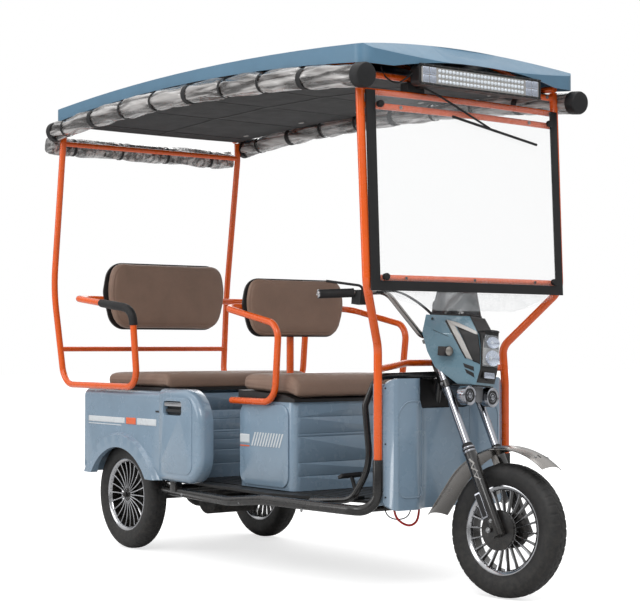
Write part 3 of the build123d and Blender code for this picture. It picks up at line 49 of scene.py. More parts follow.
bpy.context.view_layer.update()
MM = 0.001
MERGE_DISTANCE = 3e-6
Array = np.ndarray
Point = tuple[float, float, float]
Rows = Sequence[Sequence[float]]
Socket = bpy.types.NodeSocket
Piece = bpy.types.Object
Tone = tuple[int, int, int]
FULL_TURN = 6.28
RIGHT, LEFT = -1, 1
BOTH_SIDES = (RIGHT, LEFT)
DUST = (150, 141, 128)


# Finishes

class Grain(Enum):
    """The small relief of a surface."""

    PAINT = "paint"
    LEATHER = "leather"
    PLASTIC = "plastic"
    RUBBER = "rubber"
    BRUSHED = "brushed"
    CAST = "cast"
    WEAVE = "weave"
    CRUMPLE = "crumple"
    FLUTED = "fluted"
    CELLS = "cells"


def linear(tone: Tone, gain: float = 1.0) -> tuple[float, float, float, float]:
    """Turns a screen colour into the shader's linear colour.

    Args:
        tone: red, green and blue from 0 to 255.
        gain: factor on the linear colour.

    Returns:
        Red, green, blue and alpha.
    """
    share = np.array(tone, float) / 255
    value = np.where(share <= 0.04045, share / 12.92, ((share + 0.055) / 1.055) ** 2.4) * gain
    return (*np.clip(value, 0, 1).tolist(), 1.0)


class Graph:
    """Short calls that add shader nodes to one material or to the world."""

    def __init__(self, owner: bpy.types.Material | bpy.types.World) -> None:
        """Empties the owner's node tree."""
        owner.use_nodes = True
        self.tree = owner.node_tree
        self.tree.nodes.clear()

    def add(self, kind: str, **values: object) -> bpy.types.ShaderNode:
        """Adds a node.

        Args:
            kind: the node's type name without its ShaderNode prefix.
            values: attributes in lower case, and inputs by name with _ for a space.

        Returns:
            The new node.
        """
        node = self.tree.nodes.new("ShaderNode" + kind)
        for key, value in values.items():
            if key[0].islower():
                setattr(node, key, value)
            elif isinstance(value, Socket):
                self.tree.links.new(value, node.inputs[key.replace("_", " ")])
            else:
                node.inputs[key.replace("_", " ")].default_value = value
        return node

    def noise(self, spot: Socket, size: float, detail: float = 3.0) -> Socket:
        """Adds cloudy noise whose blobs are about size metres wide and returns its value."""
        return self.add(
            "TexNoise", Vector=spot, Scale=1 / size, Detail=detail, Roughness=0.6,
        ).outputs[0]

    def spread(self, value: Socket, span: tuple[float, float], to: tuple[float, float]) -> Socket:
        """Maps a value's span to another span, clamped, and returns the result."""
        node = self.add(
            "MapRange", Value=value, From_Min=span[0], From_Max=span[1], To_Min=to[0], To_Max=to[1],
        )
        return node.outputs[0]

    def sum(self, first: Socket, second: Socket, operation: str = "ADD") -> Socket:
        """Combines two values and returns the result."""
        node = self.add("Math", operation=operation)
        self.tree.links.new(first, node.inputs[0])
        self.tree.links.new(second, node.inputs[1])
        return node.outputs[0]

    def blend(self, share: Socket, first: object, second: object) -> Socket:
        """Mixes two colours, each a socket or four numbers, and returns the result."""
        node = self.add("Mix", data_type="RGBA")
        self.tree.links.new(share, node.inputs[0])
        for index, colour in ((6, first), (7, second)):
            if isinstance(colour, Socket):
                self.tree.links.new(colour, node.inputs[index])
            else:
                node.inputs[index].default_value = colour
        return node.outputs[2]

    def stretched(self, spot: Socket, factors: Point) -> Socket:
        """Scales the pattern space along each axis and returns the new vector."""
        return self.add("Mapping", Vector=spot, Scale=factors).outputs[0]


@dataclass(frozen=True)
class Finish:
    """One finish of the vehicle: its colour, gloss, relief, soiling and see-through share."""

    name: str
    tone: Tone
    grain: Grain
    rough: float = 0.5
    metal: float = 0.0
    coat: float = 0.0
    sheen: float = 0.0
    vary: float = 0.08
    patch: float = 0.15
    size: float = 0.0012
    bump: float = 0.2
    along: Point = (1.0, 1.0, 1.0)
    dust: float = 0.0
    dust_top: float = 0.45
    alpha: float = 1.0
    alpha_vary: float = 0.0
    # second: a tone for the grain's high parts; painted highlight on the curtain film, grid lines between
    # cells on the solar modules.
    second: Tone | None = None

    def relief(self, graph: Graph, spot: Socket) -> Socket:
        """Builds the height pattern of the grain.

        Args:
            graph: the material's graph.
            spot: object coordinates.

        Returns:
            A height from 0 to about 1.
        """
        step = 1 / self.size
        if self.grain is Grain.LEATHER:
            cells = graph.add(
                "TexVoronoi", feature="DISTANCE_TO_EDGE", Vector=spot, Scale=step,
            ).outputs[0]
            pores = graph.noise(spot, self.size * 0.4, 2)
            return graph.sum(
                graph.spread(cells, (0, 0.22), (0, 1)), graph.spread(pores, (0.3, 0.7), (0, 0.35)),
            )
        if self.grain is Grain.WEAVE:
            waves = [
                graph.add(
                    "TexWave", bands_direction=axis, Vector=spot, Scale=step / FULL_TURN,
                    Distortion=0.4,
                )
                for axis in "XY"
            ]
            return graph.sum(waves[0].outputs[1], waves[1].outputs[1], "MULTIPLY")
        if self.grain is Grain.FLUTED:
            turned = graph.stretched(spot, self.along)
            flutes = graph.add(
                "TexWave", bands_direction="X", Vector=turned, Scale=step / FULL_TURN, Distortion=0.0,
            )
            return flutes.outputs[1]
        if self.grain is Grain.BRUSHED:
            return graph.noise(graph.stretched(spot, self.along), self.size, 4)
        if self.grain is Grain.CRUMPLE:
            long = graph.stretched(spot, self.along)
            folds = graph.add(
                "TexNoise", Vector=long, Scale=step, Detail=1.6, Roughness=0.5, Distortion=0.7,
            )
            edges = graph.add("TexVoronoi", feature="DISTANCE_TO_EDGE", Vector=long, Scale=step * 0.6)
            return graph.sum(folds.outputs[0], graph.spread(edges.outputs[0], (0, 0.2), (0, 0.22)))
        if self.grain is Grain.CAST:
            lumps = graph.noise(spot, self.size * 3, 4)
            return graph.sum(lumps, graph.noise(spot, self.size, 2))
        if self.grain is Grain.RUBBER:
            return graph.sum(graph.noise(spot, self.size * 8, 4), graph.noise(spot, self.size, 2))
        if self.grain is Grain.CELLS:
            return graph.add(
                "TexBrick", Vector=spot, Scale=step, Mortar_Size=0.012, offset=0.0,
            ).outputs[1]
        return graph.noise(spot, self.size, 2)

    def colour(self, graph: Graph, spot: Socket, height: Socket) -> Socket:
        """Builds the colour: soft patches, painted shade in the hollows of the grain, a second tone on the
        grain's high parts (painted highlight on the curtain film's folds, grid lines on the solar cells),
        and dust near the ground.

        Args:
            graph: the material's graph.
            spot: object coordinates.
            height: the grain's height.

        Returns:
            The colour socket.
        """
        clouds = graph.spread(graph.noise(spot, self.patch, 4), (0.3, 0.7), (0, 1))
        base = graph.blend(clouds, linear(self.tone, 1 - self.vary), linear(self.tone, 1 + self.vary))
        # Painted shade: the hollows of leather, weave and cast grain are darkened towards 0.45 of the
        # tone.
        if self.grain in (Grain.LEATHER, Grain.WEAVE, Grain.CAST):
            hollow = graph.spread(height, (0.0, 0.7), (0.35, 0.0))
            base = graph.blend(hollow, base, linear(self.tone, 0.45))
        # Second tone on the grain's high parts: on the curtain film it is painted highlight on the folds,
        # on the solar cells it draws the grid lines between cells.
        if self.second is not None:
            hollow = graph.spread(height, (0.56, 0.78), (0, 1))
            base = graph.blend(hollow, base, linear(self.second))
        if self.dust > 0:
            rise = graph.add("SeparateXYZ", Vector=spot).outputs[2]
            low = graph.spread(rise, (0.0, self.dust_top), (self.dust, self.dust * 0.15))
            specks = graph.spread(graph.noise(spot, 0.02, 6), (0.4, 0.65), (0.15, 1))
            base = graph.blend(graph.sum(low, specks, "MULTIPLY"), base, linear(DUST))
        return base

    def material(self) -> bpy.types.Material:
        """Returns the finish's material, built on the first call."""
        label = "rickshaw_" + self.name
        found = bpy.data.materials.get(label)
        if found:
            return found
        made = bpy.data.materials.new(label)
        graph = Graph(made)
        spot = graph.add("TexCoord").outputs["Object"]
        height = self.relief(graph, spot)
        gloss = (max(self.rough - 0.06, 0.02), min(self.rough + 0.08, 1))
        wear = graph.spread(graph.noise(spot, self.patch * 0.6, 5), (0.3, 0.7), gloss)
        bump = graph.add("Bump", Strength=self.bump, Distance=self.size * 0.5, Height=height)
        shader = graph.add(
            "BsdfPrincipled", Base_Color=self.colour(graph, spot, height), Roughness=wear,
            Normal=bump.outputs[0], Metallic=self.metal, Coat_Weight=self.coat, Coat_Roughness=0.06,
            Sheen_Weight=self.sheen, Alpha=self.alpha,
        )
        if self.alpha_vary:
            cloud = graph.noise(graph.stretched(spot, self.along), self.size * 0.8, 5)
            span = (self.alpha - self.alpha_vary, min(self.alpha + self.alpha_vary, 1))
            veil = graph.spread(cloud, (0.35, 0.65), span)
            graph.tree.links.new(veil, shader.inputs["Alpha"])
        out = graph.add("OutputMaterial")
        graph.tree.links.new(shader.outputs[0], out.inputs[0])
        made.diffuse_color = linear(self.tone)
        return made


BODY_BLUE = Finish(
    "body_gloss_blue", (124, 146, 165), Grain.PAINT, 0.24, coat=0.6, vary=0.05, size=0.004, bump=0.05,
    dust=0.12, dust_top=0.5,
)
ROOF_BLUE = Finish(
    "roof_satin_blue", (84, 121, 146), Grain.PAINT, 0.42, coat=0.15, vary=0.05, size=0.003, bump=0.08,
)
FAIRING_BLUE = Finish(
    "fairing_blue", (100, 131, 146), Grain.PAINT, 0.26, coat=0.5, vary=0.05, size=0.004, bump=0.05,
)
ORANGE = Finish(
    "orange_powder_coat", (226, 90, 14), Grain.PAINT, 0.26, coat=0.3, vary=0.06, size=0.003, bump=0.06,
)
FRAME_BLACK = Finish(
    "frame_black_gloss", (13, 13, 15), Grain.PAINT, 0.26, coat=0.3, vary=0.2, size=0.003, bump=0.06,
    dust=0.12,
)
PLASTIC_BLACK = Finish(
    "moulded_black", (18, 18, 20), Grain.PLASTIC, 0.46, vary=0.15, bump=0.25, dust=0.12,
)
SOFT_BLACK = Finish("soft_black", (14, 14, 16), Grain.RUBBER, 0.62, vary=0.2, size=0.0009, bump=0.25)
TYRE = Finish(
    "tyre_rubber", (21, 21, 22), Grain.RUBBER, 0.6, vary=0.2, size=0.0012, bump=0.3, dust=0.07,
    dust_top=0.6,
)
LEATHER = Finish(
    "seat_leather", (134, 108, 92), Grain.LEATHER, 0.5, sheen=0.1, vary=0.09, patch=0.09, size=0.0023,
    bump=0.32,
)
POLISHED = Finish(
    "polished_rim", (182, 183, 186), Grain.BRUSHED, 0.16, metal=1.0, vary=0.06, size=0.01, bump=0.01,
)
CHROME = Finish(
    "fork_chrome", (158, 160, 166), Grain.PAINT, 0.1, metal=1.0, vary=0.04, size=0.02, bump=0.01,
)
STAINLESS = Finish(
    "brushed_stainless", (150, 147, 144), Grain.BRUSHED, 0.24, metal=1.0, vary=0.06, size=0.012,
    bump=0.015, along=(0.6, 5, 0.6),
)
SILVER = Finish(
    "silver_plastic", (176, 174, 171), Grain.PLASTIC, 0.4, metal=0.35, vary=0.06, size=0.0015,
    bump=0.08,
)
STEEL = Finish(
    "zinc_screws", (150, 151, 152), Grain.PLASTIC, 0.33, metal=0.9, vary=0.12, size=0.0008, bump=0.1,
)
CLEAR = Finish(
    "clear_screen", (236, 240, 242), Grain.PAINT, 0.05, vary=0.02, size=0.09, bump=0.02, alpha=0.07,
)
CLEAR_FLAP = Finish(
    "clear_flap", (214, 218, 221), Grain.CRUMPLE, 0.07, vary=0.05, size=0.09, bump=0.2, alpha=0.08,
    alpha_vary=0.05,
)
SMOKED = Finish(
    "smoked_screen", (44, 46, 49), Grain.PAINT, 0.1, vary=0.1, size=0.03, bump=0.02, alpha=0.95,
)
LENS = Finish(
    "clear_lens", (228, 234, 240), Grain.PAINT, 0.04, coat=0.3, vary=0.03, size=0.02, bump=0.05,
    alpha=0.12,
)
REFLECTOR = Finish(
    "lamp_reflector", (205, 213, 228), Grain.FLUTED, 0.12, metal=0.8, vary=0.1, size=0.009, bump=0.12,
)
LED = Finish(
    "light_bar_dome", (222, 229, 236), Grain.PAINT, 0.1, coat=0.6, vary=0.1, patch=0.01, size=0.004,
    bump=0.2,
)
RED_LENS = Finish(
    "tail_lens", (150, 18, 20), Grain.FLUTED, 0.14, coat=0.6, vary=0.08, size=0.006, bump=0.35,
    along=(0, 1, 0),
)
TURN_LENS = Finish(
    "turn_lens", (150, 146, 140), Grain.FLUTED, 0.12, metal=0.5, coat=0.6, vary=0.1, size=0.005,
    bump=0.35, along=(0, 0, 1),
)
# The film's pale second tone on its folds is painted highlight.
FILM = Finish(
    "rolled_curtain_film", (56, 52, 50), Grain.CRUMPLE, 0.08, coat=1.0, vary=0.3, patch=0.12,
    size=0.05, bump=0.8, along=(0.16, 1.9, 1.9), alpha=0.84, alpha_vary=0.14, second=(190, 187, 185),
)
LINING = Finish(
    "canopy_lining", (25, 26, 29), Grain.WEAVE, 0.85, sheen=0.05, vary=0.15, size=0.0016, bump=0.35,
)
SOLAR = Finish(
    "solar_cells", (22, 30, 54), Grain.CELLS, 0.2, coat=0.6, vary=0.15, size=0.156, bump=0.1,
    second=(96, 102, 112),
)
CAST_IRON = Finish(
    "axle_cast", (44, 44, 46), Grain.CAST, 0.6, metal=0.3, vary=0.2, size=0.003, bump=0.4, dust=0.3,
)
BATTERY = Finish("battery_case", (40, 42, 46), Grain.PLASTIC, 0.5, vary=0.1, bump=0.2)
LEAD_RED = Finish("lead_red", (188, 34, 26), Grain.RUBBER, 0.4, vary=0.12, size=0.001, bump=0.15)
DECAL_PALE = Finish(
    "pale_stripe", (206, 211, 214), Grain.PAINT, 0.3, coat=0.4, vary=0.03, size=0.004, bump=0.03,
)
DECAL_ORANGE = Finish(
    "orange_stripe", (226, 96, 40), Grain.PAINT, 0.3, coat=0.4, vary=0.04, size=0.004, bump=0.03,
)
BRASS = Finish(
    "valve_brass", (176, 138, 70), Grain.BRUSHED, 0.3, metal=1.0, vary=0.1, size=0.001, bump=0.1,
)
PLATE_GREY = Finish(
    "blank_plate", (120, 121, 124), Grain.PLASTIC, 0.38, metal=0.4, vary=0.06, size=0.001, bump=0.08,
)

NODE_FINISHES: dict[str, Finish] = {
    "chassis": FRAME_BLACK, "front_hoop": ORANGE, "rear_hoop": ORANGE, "driver_seat_frame": ORANGE,
    "roof_frame": ORANGE, "floor_board": PLASTIC_BLACK, "rear_quarters": BODY_BLUE,
    "rear_wings": BODY_BLUE, "rear_bulkhead": BODY_BLUE, "rear_wall": BODY_BLUE,
    "tail_lamps": RED_LENS, "rear_axle": CAST_IRON, "leaf_springs": CAST_IRON,
    "driver_box": BODY_BLUE, "battery": BATTERY, "seat_bases": PLASTIC_BLACK,
    "backrest_shells": PLASTIC_BLACK, "leg_shield": BODY_BLUE, "brake_pedal": PLASTIC_BLACK,
    "roof_shell": ROOF_BLUE, "solar_modules": SOLAR, "windshield": CLEAR,
    "windshield_trim": SOFT_BLACK, "wiper": SOFT_BLACK, "light_bar": PLASTIC_BLACK,
    "steering_stem": FRAME_BLACK, "fork_legs": FRAME_BLACK, "front_fender": STAINLESS,
    "fairing": FAIRING_BLUE, "front_lamps": PLASTIC_BLACK, "horns": CHROME, "handlebar": STAINLESS,
    "hand_grips": SOFT_BLACK,
}
FLAT_NODES = ("floor_board", "battery", "solar_modules", "seat_bases")


# Surfaces

@dataclass
class Shape:
    """Points in millimetres, and the faces of four and of three corners between them."""

    points: Array
    quads: Array = field(default_factory=lambda: np.zeros((0, 4), int))
    tris: Array = field(default_factory=lambda: np.zeros((0, 3), int))

    def __add__(self, other: "Shape") -> "Shape":
        """Both shapes as one."""
        shift = len(self.points)
        return Shape(
            np.concatenate([self.points, other.points]),
            np.concatenate([self.quads, other.quads + shift]),
            np.concatenate([self.tris, other.tris + shift]),
        )

    def placed(self, axes: Rows, origin: Sequence[float]) -> "Shape":
        """The shape with its x, y and z along three given directions from an origin."""
        return Shape(
            self.points @ np.array(axes, float) + np.array(origin, float), self.quads, self.tris,
        )

    def moved(self, *offset: float) -> "Shape":
        """The shape shifted by an offset."""
        return Shape(self.points + np.array(offset, float), self.quads, self.tris)

    def mirrored(self) -> "Shape":
        """The shape's mirror image across the vehicle's middle plane, faces kept outward."""
        return Shape(self.points * (1, -1, 1), self.quads[:, ::-1], self.tris[:, ::-1])

    def turned(self, angles: Array) -> "Shape":
        """Copies turned about z, one for each angle in radians, as one shape."""
        c, s, zero, one = np.cos(angles), np.sin(angles), np.zeros_like(angles), np.ones_like(angles)
        rows = ([c, s, zero], [-s, c, zero], [zero, zero, one])
        turns = np.stack([np.stack(row, -1) for row in rows], -2)
        points = np.einsum("pj,ajk->apk", self.points, turns).reshape(-1, 3)
        shift = (np.arange(len(angles)) * len(self.points))[:, None, None]
        return Shape(points, (self.quads + shift).reshape(-1, 4), (self.tris + shift).reshape(-1, 3))


def gathered(shapes: Sequence[Shape]) -> Shape:
    """Several shapes as one."""
    total = shapes[0]
    for shape in shapes[1:]:
        total = total + shape
    return total


def copies(shape: Shape, offsets: Rows) -> Shape:
    """The shape repeated at each offset, as one shape."""
    moves = np.array(offsets, float)
    shift = (np.arange(len(moves)) * len(shape.points))[:, None, None]
    points = (shape.points[None] + moves[:, None]).reshape(-1, 3)
    return Shape(points, (shape.quads + shift).reshape(-1, 4), (shape.tris + shift).reshape(-1, 3))


def grid(points: Array, wrap_u: bool = False, wrap_v: bool = False, caps: bool = False) -> Shape:
    """Faces over a grid of points.

    Args:
        points: rows by columns by three.
        wrap_u: whether the last row joins the first.
        wrap_v: whether the last column joins the first.
        caps: whether the first and last rows are closed, each by a fan to its middle.

    Returns:
        The shape.
    """
    rows, columns = points.shape[:2]
    first = np.arange(rows if wrap_u else rows - 1)
    second = np.arange(columns if wrap_v else columns - 1)
    a, b = np.meshgrid(first, second, indexing="ij")
    c, d = (a + 1) % rows, (b + 1) % columns
    quads = np.stack(
        [a * columns + b, c * columns + b, c * columns + d, a * columns + d], -1,
    ).reshape(-1, 4)
    shape = Shape(points.reshape(-1, 3), quads)
    if caps:
        middles = points[[0, -1]].mean(1)
        ring = np.arange(columns)
        after = (ring + 1) % columns
        low = np.stack([ring, after, np.full(columns, rows * columns)], -1)
        high = np.stack([after, ring, np.full(columns, rows * columns + 1)], -1)
        high = high + np.array([1, 1, 0]) * (rows - 1) * columns
        shape = Shape(np.concatenate([shape.points, middles]), quads, np.concatenate([low, high]))
    return shape


def circle(radius: float, count: int) -> Array:
    """Points round a circle."""
    angle = np.linspace(0, 2 * np.pi, count, endpoint=False)
    return np.stack([radius * np.cos(angle), radius * np.sin(angle)], -1)


def lathe(profile: Rows, count: int = 48, closed: bool = False) -> Shape:
    """A profile carried round the z axis: x and y are the radius times the angle's cosine and sine.

    Args:
        profile: pairs of radius and height.
        count: steps round the axis.
        closed: whether the profile is a loop.

    Returns:
        The shape.
    """
    outline = np.array(profile, float)
    angle = np.linspace(0, 2 * np.pi, count, endpoint=False)[:, None]
    radius, height = outline[:, 0], outline[:, 1]
    points = np.stack([radius * np.cos(angle), radius * np.sin(angle), height + 0 * angle], -1)
    return grid(points, wrap_u=True, wrap_v=closed)


def side_and_rise(slope: Array, up: Point) -> tuple[Array, Array]:
    """Directions square to each slope: one to its side, square to up, and one that rises from it."""
    slope = slope / np.linalg.norm(slope, axis=1, keepdims=True)
    side = np.cross(slope, np.array(up, float))
    side = side / np.linalg.norm(side, axis=1, keepdims=True)
    return side, np.cross(side, slope)


def lengths(line: Array) -> Array:
    """The length of a polyline up to each of its points."""
    return np.concatenate([[0], np.cumsum(np.linalg.norm(np.diff(line, axis=0), axis=1))])


def sweep(
    path: Array, section: Array, up: Point = (0, 0, 1), scale: Array | None = None,
    closed: bool = False,
) -> Shape:
    """A section carried along a path: each ring stands square to the path's slope, its width across up.

    Args:
        path: points along the path.
        section: pairs of width and height.
        up: a direction that the path never follows.
        scale: factor on the section at each point.
        closed: whether the path is a loop.

    Returns:
        The shape, with its ends closed.
    """
    path = np.array(path, float)
    slope = (np.roll(path, -1, 0) - np.roll(path, 1, 0)) if closed else np.gradient(path, axis=0)
    side, rise = side_and_rise(slope, up)
    size = np.ones(len(path)) if scale is None else scale
    rings = section[None, :, :] * size[:, None, None]
    points = path[:, None] + rings[..., :1] * side[:, None] + rings[..., 1:] * rise[:, None]
    return grid(points, wrap_u=closed, wrap_v=True, caps=not closed)


def smooth(points: Rows, count: int) -> Array:
    """Points along the cubic curve through given points.

    Its slope at each given point is half the step between that point's neighbours.
    """
    given = np.array(points, float)
    t = np.linspace(0, len(given) - 1, count)
    i = np.minimum(t.astype(int), len(given) - 2)
    f = (t - i)[:, None]
    last = len(given) - 1
    p0, p1, p2, p3 = (given[np.clip(i + k, 0, last)] for k in (-1, 0, 1, 2))
    square = 2 * p0 - 5 * p1 + 4 * p2 - p3
    cube = 3 * p1 - p0 - 3 * p2 + p3
    return 0.5 * (2 * p1 + (p2 - p0) * f + square * f**2 + cube * f**3)


def rounded(corners: Rows, radius: float, steps: int = 6) -> Array:
    """An outline whose corners are replaced by parabolas that start and end a radius away from them."""
    given = np.array(corners, float)
    before, after = np.roll(given, 1, 0) - given, np.roll(given, -1, 0) - given
    back = np.linalg.norm(before, axis=1, keepdims=True)
    ahead = np.linalg.norm(after, axis=1, keepdims=True)
    reach = np.minimum(radius, 0.45 * np.minimum(back, ahead))
    start = given + before / back * reach
    end = given + after / ahead * reach
    t = np.linspace(0, 1, steps)[None, :, None]
    curve = (1 - t) ** 2 * start[:, None] + 2 * t * (1 - t) * given[:, None] + t**2 * end[:, None]
    return curve.reshape(-1, curve.shape[-1])


def ribbon(half_width: float, half_height: float) -> Array:
    """The four corners of a strip's section about the origin."""
    wide, high = half_width, half_height
    return np.array([(-wide, -high), (wide, -high), (wide, high), (-wide, high)])


def oblong(half_width: float, half_height: float, radius: float, steps: int = 6) -> Array:
    """A rectangle about the origin with its corners rounded."""
    return rounded(ribbon(half_width, half_height), radius, steps)


def denser(outline: Array, step: float) -> Array:
    """A closed outline resampled at equal steps of its length."""
    loop = np.concatenate([outline, outline[:1]])
    along = lengths(loop)
    spots = np.linspace(0, along[-1], max(int(along[-1] / step), 8), endpoint=False)
    return np.stack([np.interp(spots, along, loop[:, k]) for k in range(loop.shape[1])], -1)


def slab(
    outline: Array, thickness: float, edge: float = 0.0, foot_edge: float = 0.0, steps: int = 4,
) -> Shape:
    """A plate on the xy plane whose rim follows a quarter circle.

    At angle a the outline moves in by edge times one less the cosine, and up by edge times the sine.

    Args:
        outline: a closed outline, anticlockwise.
        thickness: height of the plate.
        edge: radius of the upper rim.
        foot_edge: radius of the lower rim.
        steps: rings in each rim.

    Returns:
        The shape, closed above and below.
    """
    along = np.roll(outline, -1, 0) - np.roll(outline, 1, 0)
    inward = np.stack([-along[:, 1], along[:, 0]], -1)
    inward = inward / np.maximum(np.linalg.norm(inward, axis=1, keepdims=True), 1e-9)
    x, y = outline[:, 0], outline[:, 1]
    area = 0.5 * np.sum(x * np.roll(y, -1) - y * np.roll(x, -1))
    inward = inward * np.sign(area)
    turn = np.linspace(0, np.pi / 2, steps)
    low, high = [(0, 0)], [(0, thickness)]
    if foot_edge:
        low = [(foot_edge * (1 - math.sin(a)), foot_edge * (1 - math.cos(a))) for a in turn]
    if edge:
        high = [(edge * (1 - math.cos(a)), thickness - edge + edge * math.sin(a)) for a in turn]
    rings = []
    for inset, height in low + high:
        rings.append(np.concatenate([outline + inward * inset, np.full((len(outline), 1), height)], 1))
    return grid(np.stack(rings), wrap_v=True, caps=True)


def ruled(first: Rows, second: Rows, rows: int = 12, columns: int = 6) -> Shape:
    """The straight-line surface between two polylines, each resampled at equal shares of its length."""
    curves = []
    for line in (first, second):
        given = np.array(line, float)
        along = lengths(given)
        spots = np.linspace(0, along[-1], rows)
        curves.append(np.stack([np.interp(spots, along, given[:, k]) for k in range(3)], -1))
    share = np.linspace(0, 1, columns)[None, :, None]
    return grid(curves[0][:, None] * (1 - share) + curves[1][:, None] * share)


def axes_along(normal: Sequence[float], hint: Sequence[float] = (0, 0, 1)) -> Array:
    """Three square directions: across, up towards the hint, and along the normal."""
    z = np.array(normal, float) / np.linalg.norm(normal)
    x = np.cross(np.array(hint, float), z)
    x = x / np.linalg.norm(x)
    return np.stack([x, np.cross(z, x), z])


def screw(radius: float, height: float, sides: int = 6) -> Shape:
    """A bolt on z: a round washer and a head of the given sides, its top drawn in by a fifth."""
    washer = lathe(
        [(0, -1), (radius * 1.45, -1), (radius * 1.45, height * 0.25), (0, height * 0.25)], 14,
    )
    head = lathe(
        [(0, 0), (radius, 0), (radius, height * 0.8), (radius * 0.8, height), (0, height)], sides,
    )
    return washer + head


def screws_at(
    spots: Sequence[Point], normal: Sequence[float], radius: float, height: float, sides: int = 6,
) -> Shape:
    """The same bolt at each spot, heads along the normal."""
    return copies(
        screw(radius, height, sides).placed(axes_along(normal, (0.1, 0.2, 1)), (0, 0, 0)), spots,
    )


# Pieces

def mesh_of(name: str, shape: Shape) -> bpy.types.Mesh:
    """A new mesh of the shape, in metres."""
    mesh = bpy.data.meshes.new(name)
    mesh.from_pydata((shape.points * MM).tolist(), [], shape.quads.tolist() + shape.tris.tolist())
    return mesh


def add_piece(
    name: str, shape: Shape, finish: Finish, body: str = "root", crease: float = 35.0,
    closed: bool = True,
) -> Piece:
    """Puts a shape into the scene, in metres, riding on a body.

    Args:
        name: the piece's name.
        shape: its points and faces.
        finish: its finish.
        body: the CAD body that carries it.
        crease: angle in degrees above which an edge stays sharp.
        closed: whether it is a closed shell, whose faces are turned outward.

    Returns:
        The new object.
    """
    return finish_piece(name, mesh_of(name, shape), finish, body, crease, closed)


def finish_piece(
    name: str, mesh: bpy.types.Mesh, finish: Finish, body: str, crease: float, closed: bool,
) -> Piece:
    """Merges a mesh's doubles, shades it, and adds its object, as add_piece says."""
    work = bmesh.new()
    work.from_mesh(mesh)
    bmesh.ops.remove_doubles(work, verts=work.verts, dist=MERGE_DISTANCE)
    if closed:
        bmesh.ops.recalc_face_normals(work, faces=work.faces)
    work.to_mesh(mesh)
    work.free()
    mesh.polygons.foreach_set("use_smooth", np.ones(len(mesh.polygons), bool))
    mesh.set_sharp_from_angle(angle=math.radians(crease))
    mesh.materials.clear()
    mesh.materials.append(finish.material())
    made = bpy.data.objects.new(name, mesh)
    bpy.context.scene.collection.objects.link(made)
    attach(made, body)
    LOG.info("%s: %d faces on %s", name, len(mesh.polygons), body)
    return made


def apply_modifiers(made: Piece) -> None:
    """Puts the result of an object's modifiers into its mesh and removes them."""
    settled = made.evaluated_get(bpy.context.evaluated_depsgraph_get())
    mesh = bpy.data.meshes.new_from_object(settled)
    made.modifiers.clear()
    made.data = mesh


def thickened(made: Piece, thickness: float, offset: float = -1.0) -> None:
    """Gives an open sheet a wall in millimetres: behind its face at offset -1, to both sides at 0."""
    wall = made.modifiers.new("wall", "SOLIDIFY")
    wall.thickness = thickness * MM
    wall.offset = offset
    apply_modifiers(made)


def wrapped(made: Piece, node: str, lift: float, thickness: float) -> None:
    """Lays an open patch onto a CAD node, a lift in millimetres above it, and gives it a thickness."""
    press = made.modifiers.new("press", "SHRINKWRAP")
    press.target = frame["nodes"][node]
    press.wrap_method = "NEAREST_SURFACEPOINT"
    press.wrap_mode = "OUTSIDE_SURFACE"
    press.offset = lift * MM
    thickened(made, thickness, 0.0)


